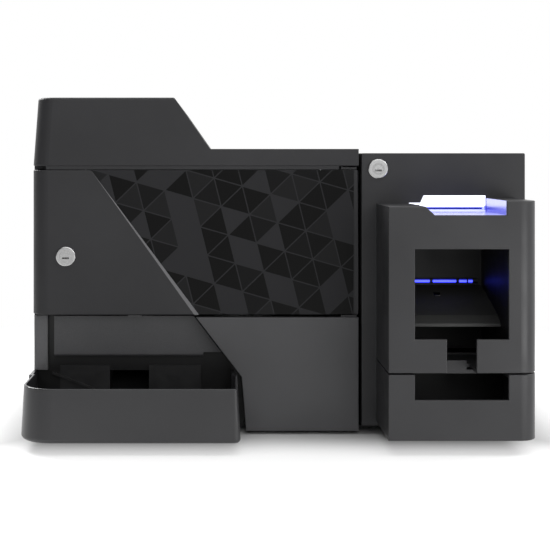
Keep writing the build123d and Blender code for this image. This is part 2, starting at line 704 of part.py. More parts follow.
face_length = hypot(door_height, pattern_step)
pattern_plane = Plane(origin=(0, front_y, door_top), x_dir=(1, 0, 0), z_dir=(0, -door_height, -pattern_step))
crease_foot_x = left_x + crease_low
crease_head_x = crease_foot_x - crease_lean
facet_foot_x = crease_foot_x + facet_width
crease_head = Vector(crease_head_x, front_y, door_top)
crease_run = Vector(crease_lean, 0, -door_height)
facet_run = Vector(facet_foot_x - crease_head_x, pattern_step, -door_height)
facet_plane = Plane(origin=crease_head, x_dir=crease_run, z_dir=crease_run.cross(facet_run))
facet_over = 1.1  # the cuts run past the door's lower edge
panel_right = coin_right - hinge_corner


def pattern_outline(right, reach):
    """The slanted right part of the door, on its own leaning plane. A reach of 1 ends at the door's foot."""
    foot_x = crease_head_x + (facet_foot_x - crease_head_x) * reach
    foot = -face_length * reach
    with BuildSketch(pattern_plane) as outline:
        with BuildLine():
            Polyline((crease_head_x, 0), (right, 0), (right, foot), (foot_x, foot), close=True)
        make_face()
    return outline.sketch


with BuildPart() as door_cover:
    with BuildSketch(Plane.XY.offset(door_bottom)) as door_plan:
        with Locations(((left_x + coin_right) / 2, (front_y + cover_back) / 2)):
            Rectangle(coin_width, cover_depth)
        door_corners = door_plan.vertices().group_by(Axis.Y)[0].sort_by(Axis.X)
        fillet(door_corners[0], corner_radius)
        fillet(door_plan.vertices().group_by(Axis.X)[-1].sort_by(Axis.Y)[0], hinge_corner)
    extrude(amount=door_height)
    for end_face in (door_cover.faces().sort_by(Axis.Z)[0], door_cover.faces().sort_by(Axis.Z)[-1]):
        fillet(end_face.edges().filter_by(lambda e: e.center().Y < cover_back - lip_round), lip_round)
    block((left_x + door_wall, coin_right - skin), (front_y + door_wall, cover_back),
          (door_bottom + skin, door_top - skin), Mode.SUBTRACT)
    rod_z(pivot_x, pivot_y, (door_bottom, door_bottom + door_boss_length), door_boss_radius)
    rod_z(pivot_x, pivot_y, (door_top - door_boss_length, door_top), door_boss_radius)
    for pin_span in ((door_bottom, door_bottom + pin_reach + seam), (door_top - pin_reach - seam, door_top)):
        rod_z(pivot_x, pivot_y, pin_span, door_pin_radius + run_gap, Mode.SUBTRACT)
    block((coin_right - door_relief, coin_right), (pivot_y + door_boss_radius, cover_back),
          (door_bottom, door_top), Mode.SUBTRACT)
    rod_y(coin_lock_x, coin_lock_z, (front_y, front_y + door_wall), lock_barrel_radius, Mode.SUBTRACT)
    cut_outline = pattern_outline(coin_right + hinge_corner, facet_over)
    extrude(cut_outline, amount=hinge_corner, mode=Mode.SUBTRACT)
    extrude(cut_outline, amount=-panel_thick, mode=Mode.SUBTRACT)
    with BuildSketch(facet_plane):
        with BuildLine():
            Polyline((0, 0), *(tuple(facet_plane.to_local_coords(crease_head + run * facet_over))[:2]
                               for run in (crease_run, facet_run)), close=True)
        make_face()
    extrude(amount=hinge_corner, mode=Mode.SUBTRACT)

with BuildPart() as pattern_panel:
    extrude(pattern_outline(panel_right, 1), amount=-panel_thick)
    panel_front = pattern_panel.faces().sort_by(SortBy.AREA)[-2:].sort_by(Axis.Y)[0]
    fillet(panel_front.edges().filter_by(Axis.X), edge_round)


def lock_barrel(x, z, length):
    """The fixed sleeve of a cam lock with its bright round head."""
    with BuildPart() as barrel:
        rod_y(x, z, (front_y - lock_head, front_y), lock_head_radius)
        rod_y(x, z, (front_y, front_y + length - run_gap), lock_barrel_radius)
        rod_y(x, z, (front_y - lock_head, front_y + length), lock_plug_radius + run_gap, Mode.SUBTRACT)
        rim = barrel.faces().sort_by(Axis.Y)[0].edges().sort_by(Edge.length)[-1]
        fillet(rim, lock_head / 2)
    return barrel


def lock_plug(x, z, length):
    """The turning core of a cam lock, with its keyway."""
    with BuildPart() as plug:
        rod_y(x, z, (front_y - lock_head + seam, front_y + length), lock_plug_radius)
        block((x - key_slot[0] / 2, x + key_slot[0] / 2),
              (front_y - lock_head, front_y - lock_head + key_slot[2]),
              (z - key_drop - key_slot[1] / 2, z - key_drop + key_slot[1] / 2), Mode.SUBTRACT)
    return plug


def lock_cam(x, z, length, reach, turn):
    """The cam on the plug's rear end; turn is the way it points at rest, from +X towards +Z."""
    with BuildPart() as cam:
        with BuildSketch(Plane.XZ.offset(-(front_y + length + cam_thick))):
            with Locations(Location((x, z, 0), (0, 0, turn))):
                with Locations((reach / 2 - cam_width / 4, 0)):
                    SlotOverall(reach + cam_width / 2, cam_width)
        extrude(amount=cam_thick)
    return cam


coin_lock_barrel = lock_barrel(coin_lock_x, coin_lock_z, coin_lock_length)
coin_lock_plug = lock_plug(coin_lock_x, coin_lock_z, coin_lock_length)
coin_lock_cam = lock_cam(coin_lock_x, coin_lock_z, coin_lock_length, coin_cam_reach, 90)
note_lock_barrel = lock_barrel(note_lock_x, note_lock_z, note_lock_length)
note_lock_plug = lock_plug(note_lock_x, note_lock_z, note_lock_length)
note_lock_cam = lock_cam(note_lock_x, note_lock_z, note_lock_length, note_cam_reach, -45)

# Hood

ear_front = rear_y - skin
slope_x = coin_right - hood_shelf_length
inlet_centre = (bowl_x, bowl_y)
with BuildPart() as hood_shell:
    with BuildSketch(Plane.XZ.offset(-rear_y)):
        with BuildLine():
            Polyline((left_x, hood_bottom), (left_x + hood_draft, hood_top), (slope_x - hood_slope, hood_top),
                     (slope_x, hood_shelf), (coin_right, hood_shelf), (coin_right, hood_bottom), close=True)
        make_face()
    extrude(amount=body_depth)
    fillet(hood_shell.faces().sort_by(Axis.Y)[0].edges().sort_by(Axis.X)[0], corner_radius)
    fillet(hood_shell.faces().sort_by(Axis.Z)[-1].edges(), hood_edge_radius)
    offset(amount=-skin, openings=hood_shell.faces().sort_by(Axis.Z)[0])
    foot = hood_shell.edges().group_by(Axis.Z)[0]
    fillet(foot.filter_by(lambda e: e.bounding_box().min.Y < front_y + edge_round
                          or e.bounding_box().max.X < left_x + edge_round), lip_round)
    with BuildSketch(Plane.XY.offset(hood_shelf)):
        with Locations(inlet_centre):
            RectangleRounded(*inlet_size, hinge_corner)
    extrude(amount=-skin, mode=Mode.SUBTRACT)
    for spot in hinge_spots:
        with BuildSketch(Plane.YZ.offset(spot + hinge_tab + seam)):
            with Locations((hood_axis_y, hood_axis_z)):
                Circle(hinge_knuckle)
            with Locations(((hood_axis_y + ear_front) / 2, hood_axis_z)):
                Rectangle(ear_front - hood_axis_y, hinge_ear)
            with Locations((hood_axis_y, hood_axis_z)):
                Circle(hood_pin_radius + run_gap, mode=Mode.SUBTRACT)
        extrude(amount=hinge_tab)

shelf_under = hood_shelf - skin
with BuildPart() as inlet_funnel:
    with BuildSketch(Plane.XY.offset(shelf_under)):
        with Locations(inlet_centre):
            Rectangle(inlet_size[0] + 2 * funnel_flange, inlet_size[1] + 2 * funnel_flange)
    extrude(amount=-sheet)
    with BuildSketch(Plane.XY.offset(shelf_under)):
        with Locations(inlet_centre):
            RectangleRounded(inlet_size[0], inlet_size[1], hinge_corner)
    with BuildSketch(Plane.XY.offset(shelf_under - funnel_drop)):
        with Locations(inlet_centre):
            RectangleRounded(inlet_throat[0] + 2 * sheet, inlet_throat[1] + 2 * sheet, hinge_corner)
    loft()
    with BuildSketch(Plane.XY.offset(shelf_under)):
        with Locations(inlet_centre):
            RectangleRounded(inlet_size[0] - 2 * sheet, inlet_size[1] - 2 * sheet, hinge_corner)
    with BuildSketch(Plane.XY.offset(shelf_under - funnel_drop)):
        with Locations(inlet_centre):
            RectangleRounded(*inlet_throat, hinge_corner)
    loft(mode=Mode.SUBTRACT)

# Banknote recycler: casing on runner rails

rail_spots = (note_left + rail_inset, note_right - rail_inset)
runner_start = front_y + runner_behind
with BuildPart() as note_rails:
    for x in rail_spots:
        block((x - rail_width / 2, x + rail_width / 2), (wall_front, rear_y - 2 * sheet),
              (floor_z, note_bottom - slide_gap))
        block((x - runner_width / 2, x + runner_width / 2), (runner_start, runner_start + runner_length),
              (floor_z, note_bottom + runner_rise))

note_inner = (note_left + sheet, note_right - sheet)
note_rear_y = rear_y - sheet
bezel_x = note_left + bezel_left
bezel_end = note_right - bezel_right
bezel_seam_height = bezel_bottom + cassette_front_height
bezel_low = bezel_seam_height + bezel_seam
window_bottom = bezel_low + sill_height
window_top = window_bottom + window_height
bezel_shoulder = window_top + inlet_above
shoulder_right = bezel_shoulder + bezel_right_rise
window_mid = (bezel_x + bezel_end) / 2 - window_offset
window_x = (window_mid - window_width / 2, window_mid + window_width / 2)
bay_x = (window_x[0] - bay_wall, window_x[1] + bay_wall)
bay_bottom = bezel_low + bay_lift
bay_top = window_top + bay_wall
cassette_x = (note_left + cassette_inset, note_right - cassette_inset)
cassette_top = bezel_seam_height - cassette_drop
channel_end = bezel_end - channel_right
channel_x = channel_end - channel_length
channel_floor = bezel_shoulder - channel_depth
slot_x = (channel_end - slot_inset - slot_width, channel_end - slot_inset)
slot_z = (channel_floor, bezel_shoulder + slot_above)
slot_mid = bezel_shoulder - slot_drop
slot_room = (slot_mid - slot_gap / 2, slot_mid + slot_gap / 2)
note_floor_top = note_bottom + sheet
with BuildPart() as note_front_panel:
    block((note_left, note_right), (front_y, note_panel_back), (note_bottom, note_top_z))
    fillet(note_front_panel.edges().filter_by(Axis.Y), panel_corner)
    fillet(note_front_panel.faces().sort_by(Axis.Y)[0].edges(), edge_round)
    block((note_left + note_skin, note_right - note_skin), (front_y + note_skin, note_panel_back),
          (note_bottom + note_skin, note_top_z - note_skin), Mode.SUBTRACT)
    block((bay_x[0] - seam, bay_x[1] + seam), (front_y, note_panel_back),
          (bay_bottom - seam, bay_top + seam), Mode.SUBTRACT)
    block((cassette_x[0] - seam, cassette_x[1] + seam), (front_y, note_panel_back),
          (note_floor_top, cassette_top + seam), Mode.SUBTRACT)
    block(slot_x, (front_y, note_panel_back), slot_z, Mode.SUBTRACT)
    rod_y(note_lock_x, note_lock_z, (front_y, note_panel_back), lock_barrel_radius, Mode.SUBTRACT)

with BuildPart() as note_left_side:
    block((note_left, note_inner[0]), (note_panel_back, rear_y), (note_bottom, note_top_z))
    block((note_left, note_inner[0]), cam_slot_y, cam_slot_z, Mode.SUBTRACT)

with BuildPart() as note_right_side:
    block((note_inner[1], note_right), (note_panel_back, rear_y), (note_bottom, note_top_z))

with BuildPart() as note_top:
    block(note_inner, (note_panel_back, note_rear_y), (note_top_z - sheet, note_top_z))

with BuildPart() as note_floor:
    block(note_inner, (note_panel_back, note_rear_y), (note_bottom, note_floor_top))
    for x in rail_spots:
        block((x - runner_width / 2 - seam, x + runner_width / 2 + seam),
              (runner_start - 2 * seam, note_rear_y), (note_bottom, note_floor_top), Mode.SUBTRACT)

with BuildPart() as note_rear:
    block(note_inner, (note_rear_y - sheet, note_rear_y), (note_floor_top, note_top_z - sheet))
    for x in rail_spots:
        block((x - runner_width, x + runner_width), (note_rear_y - sheet, note_rear_y),
              (note_floor_top, note_floor_top + 2 * runner_rise), Mode.SUBTRACT)
    with BuildSketch(Plane.XZ.offset(-note_rear_y)):
        with Locations((sum(note_inner) / 2, (note_bottom + note_top_z) / 2)):
            with GridLocations(*vent_pitch, note_vents, vent_rows):
                SlotOverall(*vent_slot)
    extrude(amount=sheet, mode=Mode.SUBTRACT)

# Banknote recycler: bezel, note bay and lit inlet

channel_points = [(channel_x, bezel_shoulder), (channel_end, bezel_shoulder), (channel_end, channel_floor),
                  (channel_x + channel_slant, channel_floor)]
liner_points = [(channel_x + channel_slant, channel_floor), (channel_end, channel_floor),
                (channel_end, shoulder_right), (channel_end + liner, shoulder_right),
                (channel_end + liner, channel_floor - liner),
                (channel_x + channel_slant, channel_floor - liner)]
liner_y = (proud_y + bezel_wall, front_y)
notch_x = (window_mid - notch_width / 2, window_mid + notch_width / 2)


def bezel_plan(inset, height):
    """The bezel's outline seen from above, drawn in by a wall thickness."""
    with BuildSketch(Plane.XY.offset(height)) as plan:
        with Locations(((bezel_x + bezel_end) / 2, (proud_y + front_y + inset) / 2)):
            Rectangle(bezel_end - bezel_x - 2 * inset, front_reach - inset)
        fillet(plan.vertices().group_by(Axis.Y)[0].sort_by(Axis.X)[-1], bezel_radius - inset)
    return plan.sketch


def front_edges(part):
    """The edges of a proud front's face, apart from the smooth one beside its round corner."""
    face = part.faces().sort_by(Axis.Y)[0]
    return face.edges().filter_by(lambda e: abs(e.center().X - (bezel_end - bezel_radius)) > seam)


with BuildPart() as note_bezel:
    prism_xz([(bezel_x, bezel_low), (bezel_end, bezel_low), (bezel_end, shoulder_right),
              (channel_end, shoulder_right), (channel_end, bezel_shoulder), (bezel_x, bezel_shoulder)],
             (proud_y, front_y))
    fillet(note_bezel.edges().filter_by(Axis.Z).group_by(Axis.Y)[0].sort_by(Axis.X)[-1], bezel_radius)
    extrude(bezel_plan(bezel_wall, bezel_low + bezel_wall),
            amount=channel_floor - bezel_low - 2 * bezel_wall, mode=Mode.SUBTRACT)
    block(window_x, (proud_y, front_y), (window_bottom, window_top), Mode.SUBTRACT)
    block(notch_x, (proud_y, proud_y + notch_depth), (bezel_low, window_bottom), Mode.SUBTRACT)
    prism_xz(channel_points, (proud_y, front_y), Mode.SUBTRACT)
    fillet(front_edges(note_bezel), edge_round)
    prism_xz(liner_points, liner_y, Mode.SUBTRACT)
    block((slot_x[0] + slot_margin, channel_end - slot_width / 2), liner_y, slot_room, Mode.SUBTRACT)

with BuildPart() as inlet_guide:
    prism_xz(liner_points, liner_y)

with BuildPart() as slot_light:
    block(slot_x, (front_y, front_y + slot_frame), slot_z)
    block((slot_x[0] + slot_margin, slot_x[1] - slot_margin), (front_y, front_y + slot_frame), slot_room,
          Mode.SUBTRACT)

bay_front = proud_y + bezel_wall
bay_back = proud_y + bay_depth
with BuildPart() as note_bay:
    block(bay_x, (bay_front, bay_back + bay_wall), (bay_bottom, bay_top))
    block(window_x, (bay_front, bay_back), (bay_bottom, window_top), Mode.SUBTRACT)

plate_top = window_bottom + plate_lift
fold_y = bay_back - plate_fold[0]
fold_z = plate_top - plate_fold[1]
lip_y = fold_y - plate_lip[0]
lip_z = fold_z - plate_lip[1]
with BuildPart() as note_plate:
    prism_yz([(bay_back, plate_top), (fold_y, fold_z), (lip_y, lip_z), (lip_y, lip_z - plate_thick),
              (fold_y, fold_z - plate_thick), (bay_back, plate_top - plate_thick)], window_x)

with BuildPart() as led_bar:
    block((window_mid - light_bar[0] / 2, window_mid + light_bar[0] / 2), (bay_back - light_bar[2], bay_back),
          (plate_top + light_lift, plate_top + light_lift + light_bar[1]))
    fillet(led_bar.edges().filter_by(Axis.X).group_by(Axis.Y)[0], light_bar[1] / 4)

# Banknote recycler: validator, rollers and cassette

roller_y = front_y + note_roller_behind
low_roller_z = slot_mid - note_roller_radius - nip_gap / 2
high_roller_z = slot_mid + note_roller_radius + nip_gap / 2
head_front = roller_y + note_roller_radius + head_behind
cheek_spots = ((note_inner[0] + cheek_inset[0], note_inner[0] + cheek_inset[0] + note_cheek[0]),
               (note_inner[1] - cheek_inset[1] - note_cheek[0], note_inner[1] - cheek_inset[1]))
with BuildPart() as note_validator:
    block(note_inner, (head_front, head_front + head_length),
          (bay_top + head_lift, note_top_z - sheet - head_gap))
    for cheek_x in cheek_spots:
        block(cheek_x, (head_front - note_cheek[2], head_front),
              (slot_mid - note_cheek[1] / 2, slot_mid + note_cheek[1] / 2))
        for z in (low_roller_z, high_roller_z):
            rod_x(roller_y, z, cheek_x, journal_radius + run_gap, Mode.SUBTRACT)


def note_roller(z):
    """A rubber-sleeved note roller with its journals."""
    with BuildPart() as roller:
        rod_x(roller_y, z, (cheek_spots[0][1] + end_gap, cheek_spots[1][0] - end_gap), note_roller_radius)
        rod_x(roller_y, z, (cheek_spots[0][0], cheek_spots[1][1]), journal_radius)
    return roller


note_feed_roller = note_roller(low_roller_z)
note_press_roller = note_roller(high_roller_z)

cassette_bottom = note_floor_top + slide_gap
with BuildPart() as cassette_box:
    block(cassette_x, (front_y, front_y + cassette_length), (cassette_bottom, cassette_top))
    block((cassette_x[0] + cassette_wall, cassette_x[1] - cassette_wall),
          (front_y + cassette_wall, front_y + cassette_length - cassette_wall),
          (cassette_bottom + cassette_wall, cassette_top), Mode.SUBTRACT)

tab_x = (window_mid - pull_tab[0] / 2, window_mid + pull_tab[0] / 2)
pull_bottom = bezel_bottom + pull_sill
with BuildPart() as cassette_front:
    extrude(bezel_plan(0, bezel_bottom), amount=bezel_seam_height - bezel_bottom)
    extrude(bezel_plan(bezel_wall, bezel_bottom + bezel_wall),
            amount=bezel_seam_height - bezel_bottom - 2 * bezel_wall, mode=Mode.SUBTRACT)
    block(window_x, (proud_y, proud_y + bezel_wall), (pull_bottom, bezel_seam_height), Mode.SUBTRACT)
    block(window_x, (proud_y, proud_y + pull_depth), (bezel_seam_height - bezel_wall, bezel_seam_height),
          Mode.SUBTRACT)
    fillet(front_edges(cassette_front), edge_round)
    block(tab_x, (proud_y + pull_depth, proud_y + pull_depth + pull_tab[1]),
          (bezel_seam_height, bezel_seam_height + pull_tab[2]))

pieces = {
    "base_plate": base_plate,
    "rubber_feet": rubber_feet,
    "left_side_panel": left_side_panel,
    "centre_wall": centre_wall,
    "rear_panel": rear_panel,
    "rear_screws": rear_screws,
    "hood_hinge_pins": hood_hinge_pins,
    "lower_front_panel": lower_front_panel,
    "left_post": left_post,
    "outlet_panel": outlet_panel,
    "outlet_plate": outlet_plate,
    "coin_tray": coin_tray,
    "belt_channel": belt_channel,
    "belt_drive_roller": belt_drive_roller,
    "belt_idler_roller": belt_idler_roller,
    "payout_belt": payout_belt,
    "coin_chute": coin_chute,
    **hoppers,
    "sort_deck": sort_deck,
    "feed_bowl": feed_bowl,
    "feed_disc": feed_disc,
    "feed_motor": feed_motor,
    "coin_validator": coin_validator,
    "control_board": control_board,
    "power_supply": power_supply,
    "power_inlet": power_inlet,
    "data_ports": data_ports,
    "door_pivots": door_pivots,
    "door_cover": door_cover,
    "pattern_panel": pattern_panel,
    "coin_lock_barrel": coin_lock_barrel,
    "coin_lock_plug": coin_lock_plug,
    "coin_lock_cam": coin_lock_cam,
    "hood_shell": hood_shell,
    "inlet_funnel": inlet_funnel,
    "note_rails": note_rails,
    "note_front_panel": note_front_panel,
    "note_left_side": note_left_side,
    "note_right_side": note_right_side,
    "note_top": note_top,
    "note_floor": note_floor,
    "note_rear": note_rear,
    "note_bezel": note_bezel,
    "inlet_guide": inlet_guide,
    "slot_light": slot_light,
    "note_bay": note_bay,
    "note_plate": note_plate,
    "led_bar": led_bar,
    "note_lock_barrel": note_lock_barrel,
    "note_lock_plug": note_lock_plug,
    "note_lock_cam": note_lock_cam,
    "note_validator": note_validator,
    "note_feed_roller": note_feed_roller,
    "note_press_roller": note_press_roller,
    "cassette_box": cassette_box,
    "cassette_front": cassette_front,
}
for label, piece in pieces.items():
    piece.part.label = label
    export_step(piece.part, f"parts/{label}.step")
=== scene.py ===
# %% [markdown]
# Automatic cash drawer: a coin recycler on the left and a banknote recycler on the right, under
# one dark moulded front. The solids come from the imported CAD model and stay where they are. This
# lesson gives each of them its real finish, adds the small fittings that are too fine for the
# solids, and sets up the camera, the floor and the light. Sizes are in millimetres, apart from
# those of the studio, which are in metres.

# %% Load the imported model
import math

import bmesh
import bpy
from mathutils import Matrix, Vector


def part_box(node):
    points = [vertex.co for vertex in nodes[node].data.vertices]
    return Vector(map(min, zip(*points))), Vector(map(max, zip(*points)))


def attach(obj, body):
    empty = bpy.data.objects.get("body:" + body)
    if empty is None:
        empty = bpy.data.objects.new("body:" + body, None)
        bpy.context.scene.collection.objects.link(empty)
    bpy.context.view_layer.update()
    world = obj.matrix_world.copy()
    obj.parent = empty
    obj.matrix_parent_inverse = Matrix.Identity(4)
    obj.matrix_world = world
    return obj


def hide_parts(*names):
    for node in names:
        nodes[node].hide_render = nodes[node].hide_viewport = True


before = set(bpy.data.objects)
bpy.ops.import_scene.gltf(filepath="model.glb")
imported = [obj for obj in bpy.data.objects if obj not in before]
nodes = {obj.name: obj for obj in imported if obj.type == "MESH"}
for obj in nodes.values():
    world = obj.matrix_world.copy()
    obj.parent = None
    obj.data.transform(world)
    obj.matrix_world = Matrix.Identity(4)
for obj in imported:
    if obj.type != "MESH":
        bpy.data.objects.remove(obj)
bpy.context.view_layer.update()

MM = 1000.0  # millimetres in a metre
print("CAD nodes", len(nodes))

# %% [markdown]
# The camera stands level in front of the object. The photograph's upright edges stay upright, so
# the lens looks straight along +Y and is shifted sideways and down instead of being turned.

# %% Camera
CAMERA_AT = (-0.0542, -1.380, 0.2755)  # metres
LENS, SENSOR_WIDTH = 76.84, 36
SHIFT_X, SHIFT_Y = 0.0909, -0.2  # as shares of the picture's width

camera = bpy.data.objects.new("studio_camera", bpy.data.cameras.new("studio_camera"))
bpy.context.scene.collection.objects.link(camera)
camera.location = CAMERA_AT
camera.rotation_euler = (math.radians(90), 0, 0)
camera.data.sensor_width = SENSOR_WIDTH
camera.data.lens = LENS
camera.data.shift_x = SHIFT_X
camera.data.shift_y = SHIFT_Y
bpy.context.scene.camera = camera
bpy.context.scene.view_settings.view_transform = "Standard"
print("camera at", CAMERA_AT, "lens", LENS)

# %% [markdown]
# Every finish below is built from nodes, and a few small functions are enough. `linear` turns a
# written colour into the values that the renderer works in, `add` makes a node with its settings
# and links, `start` begins a material and `wire` links patterns into its surface shader. Patterns
# read Object coordinates, which are metres here, so a size in millimetres becomes a texture scale
# through `per_mm`. A noise texture seldom leaves the middle of its range, so a Map Range node
# spreads that middle out.

# %% Tools for materials
NOISE_SPAN = {"From Min": 0.3, "From Max": 0.7}  # the middle of a noise's range


def linear(code):
    """A colour such as #3A3A3C as linear red, green, blue and alpha, by the sRGB curve."""
    channels = [int(code[i:i + 2], 16) / 255 for i in (1, 3, 5)]
    levels = [c / 12.92 if c <= 0.04045 else ((c + 0.055) / 1.055) ** 2.4 for c in channels]
    return (*levels, 1.0)


def per_mm(size):
    """The texture scale at which a pattern repeats about every `size` millimetres."""
    return MM / size


def add(tree, kind, sockets=None, **settings):
    """One node, with its settings, and a value or a link for each socket that is named."""
    made = tree.nodes.new("ShaderNode" + kind)
    for key, value in settings.items():
        setattr(made, key, value)
    for name, value in (sockets or {}).items():
        if isinstance(value, bpy.types.NodeSocket):
            tree.links.new(value, made.inputs[name])
        else:
            made.inputs[name].default_value = value
    return made


def start(name, sockets):
    """A material with one surface shader, and the place on the object that its patterns read."""
    made = bpy.data.materials.new(name)
    made.use_nodes = True
    made.node_tree.nodes.clear()
    surface = add(made.node_tree, "BsdfPrincipled", sockets)
    add(made.node_tree, "OutputMaterial", {"Surface": surface.outputs["BSDF"]})
    where = add(made.node_tree, "TexCoord").outputs["Object"]
    return made, made.node_tree, surface, where


def wire(tree, surface, sockets):
    """Links patterns into a surface shader that is already there."""
    for name, value in sockets.items():
        tree.links.new(value, surface.inputs[name])


print("material tools ready")

# %% [markdown]
# Most of what shows is black ABS, injection moulded in a steel tool whose face was spark eroded.
# That leaves a fine even grain, so the plastic looks matte charcoal rather than black. Real grain
# is about 0.15 mm, which is far below a pixel here, so it is drawn at 0.6 mm. Slow changes of tone
# and gloss over some centimetres stand for the melt's flow and for handling. A mask on the way
# that a face looks makes the polished tray rim glossier, and paints a pale highlight along the
# door's facet.

# %% Moulded plastic
GRAIN = 0.6  # as coarse as it has to be to show
FLOW, HANDLING = 70, 35  # how far apart the slow changes of tone and of gloss lie
FLECK = 0.14  # how much the grain varies the tone
GLOSS_SWING = 0.05  # how much handling varies the roughness
RELIEF = 0.35  # strength of the grain's bump
# The facet mask paints a pale highlight on faces that look the facet's way.
FACET_HIGHLIGHT_MASK = (0.965, 0.99)  # cosines of the angle to the facet's way: its finish starts, is full
TOP_MASK = (0.35, 0.75)  # the same for faces that look up


def moulded_abs(name, dark, light, roughness, gloss, grain=GRAIN, grain_depth=0.03,
                top_roughness=None, facet=None):
    """Spark-textured ABS, its grain in mm. A facet is the way that it looks and the pale colour of
    its painted highlight.
    """
    made, tree, surface, where = start(name, {"IOR": 1.53, "Specular IOR Level": gloss})
    flow = add(tree, "TexNoise", {"Vector": where, "Scale": per_mm(FLOW), "Detail": 3.0})
    speck = add(tree, "TexNoise", {"Vector": where, "Scale": per_mm(grain), "Detail": 2.0})
    tone = add(tree, "MapRange", {"Value": flow.outputs[0], **NOISE_SPAN})
    colour = add(tree, "MixRGB", {
        "Fac": tone.outputs[0], "Color1": linear(dark), "Color2": linear(light)})
    fleck = add(tree, "MapRange", {
        "Value": speck.outputs[0], **NOISE_SPAN, "To Min": 1 - FLECK, "To Max": 1 + FLECK})
    grained = add(tree, "MixRGB", {
        "Fac": 1.0, "Color1": colour.outputs[0], "Color2": fleck.outputs[0]},
        blend_type="MULTIPLY").outputs[0]
    # Painted highlight: faces that look the facet's way are mixed towards a pale colour.
    if facet is not None:
        way, pale = facet
        facing = add(tree, "TexCoord").outputs["Normal"]
        toward = add(tree, "VectorMath", {0: facing, 1: way}, operation="DOT_PRODUCT")
        band = add(tree, "MapRange", {
            "Value": toward.outputs["Value"], "From Min": FACET_HIGHLIGHT_MASK[0], "From Max": FACET_HIGHLIGHT_MASK[1]})
        grained = add(tree, "MixRGB", {
            "Fac": band.outputs[0], "Color1": grained, "Color2": linear(pale)}).outputs[0]
    hand = add(tree, "TexNoise", {
        "Vector": where, "Scale": per_mm(HANDLING), "Detail": 4.0, "Distortion": 0.6})
    rough = add(tree, "MapRange", {
        "Value": hand.outputs[0], **NOISE_SPAN,
        "To Min": roughness - GLOSS_SWING, "To Max": roughness + GLOSS_SWING}).outputs[0]
    strength = RELIEF
    if top_roughness is not None:
        facing = add(tree, "SeparateXYZ", {"Vector": add(tree, "TexCoord").outputs["Normal"]})
        top = add(tree, "MapRange", {
            "Value": facing.outputs["Z"], "From Min": TOP_MASK[0], "From Max": TOP_MASK[1]})
        rough = add(tree, "Mix", {
            "Factor": top.outputs[0], "A": rough, "B": top_roughness}).outputs[0]
        strength = add(tree, "MapRange", {
            "Value": top.outputs[0], "To Min": RELIEF, "To Max": 0.0}).outputs[0]
    relief = add(tree, "Bump", {
        "Height": speck.outputs[0], "Strength": strength, "Distance": grain_depth / MM})
    wire(tree, surface, {"Base Color": grained, "Roughness": rough, "Normal": relief.outputs[0]})
    return made


print("moulded plastic with grain of", GRAIN, "mm")

# %% [markdown]
# The mouldings differ in how dark and how smooth they are. The shell is the roughest, the bezel,
# the tray and the lining of the note bay are satin, and the tray's rim is polished by hands and
# coins.

# %% Plastics of the pieces
SHELL = ("#2A2A2C", "#303032", 0.52, 0.35)  # dark, light, roughness, gloss
shell_abs = moulded_abs("abs_shell_spark_textured", *SHELL)
panel_abs = moulded_abs("abs_panel_spark_textured", "#2B2B2D", "#313133", 0.50, 0.38)
bezel_abs = moulded_abs("abs_bezel_satin", "#2D2D2F", "#343436", 0.38, 0.42,
                        grain=0.4, grain_depth=0.02)
light_abs = moulded_abs("abs_lower_panel_textured", "#48484A", "#505052", 0.46, 0.40)
post_abs = moulded_abs("abs_corner_post_textured", "#5E5E60", "#666668", 0.46, 0.40)
tray_abs = moulded_abs("abs_tray_satin", "#2B2B2D", "#313133", 0.36, 0.50,
                       grain=0.4, grain_depth=0.006, top_roughness=0.12)
inner_abs = moulded_abs("abs_inner_black", "#121213", "#171718", 0.48, 0.40)
plate_abs = moulded_abs("abs_note_plate_grey", "#3C3C3C", "#444443", 0.50, 0.35)
bay_abs = moulded_abs("abs_note_bay_satin", "#111112", "#151516", 0.44, 0.30,
                      grain=0.4, grain_depth=0.008)
plastics = (shell_abs, panel_abs, bezel_abs, light_abs, post_abs, tray_abs, inner_abs, plate_abs,
            bay_abs)
print("plastics:", ", ".join(made.name for made in plastics))

# %% [markdown]
# Between the coin door's plain half and its leaning half runs a narrow facet. It is the same
# plastic, and the pale line along it is a painted highlight: faces that look the facet's way are
# painted paler, where the light would catch them. All of its faces point one way, up and to the
# right, and that way, read from the solid, is the mask.

# %% Door facet, painted highlight
LEAST_RIGHT, LEAST_UP = 0.3, 0.2  # how far a face has to turn to be one of the facet's
turned_faces = [face for face in nodes["door_cover"].data.polygons
                if face.normal.x > LEAST_RIGHT and face.normal.z > LEAST_UP]
facet_way = max(turned_faces, key=lambda face: face.area).normal.copy()
door_abs = moulded_abs("abs_door_painted_facet_highlight", *SHELL, facet=(facet_way, "#6C6C6E"))
print("door facet looks along", [round(value, 2) for value in facet_way])

# %% [markdown]
# The plate round the coin mouth is black plastic too. Its face behind the raised pads and guide
# rib is painted near black as painted shade, and the pads and rib are painted lighter as painted
# light, with the scuffs that passing coins leave on them. They stand in front of the plate, so the
# depth along Y tells them from it.

# %% Outlet plate
def box_mm(node):
    """The two corners of a CAD node's box, in millimetres."""
    return [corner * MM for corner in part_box(node)]


PLATE_THICK = 6.0
PAD_LIGHT_MASK = (0.5, 1.2)  # in front of the plate's face: the pads' tone starts, is full
SCUFF = 12  # size of the marks that coins leave
plate_face = box_mm("outlet_plate")[1].y - PLATE_THICK

outlet_abs, tree, surface, where = start("abs_outlet_plate_painted_shade_and_wear", {
    "IOR": 1.53, "Specular IOR Level": 0.35})
place = add(tree, "SeparateXYZ", {"Vector": where})
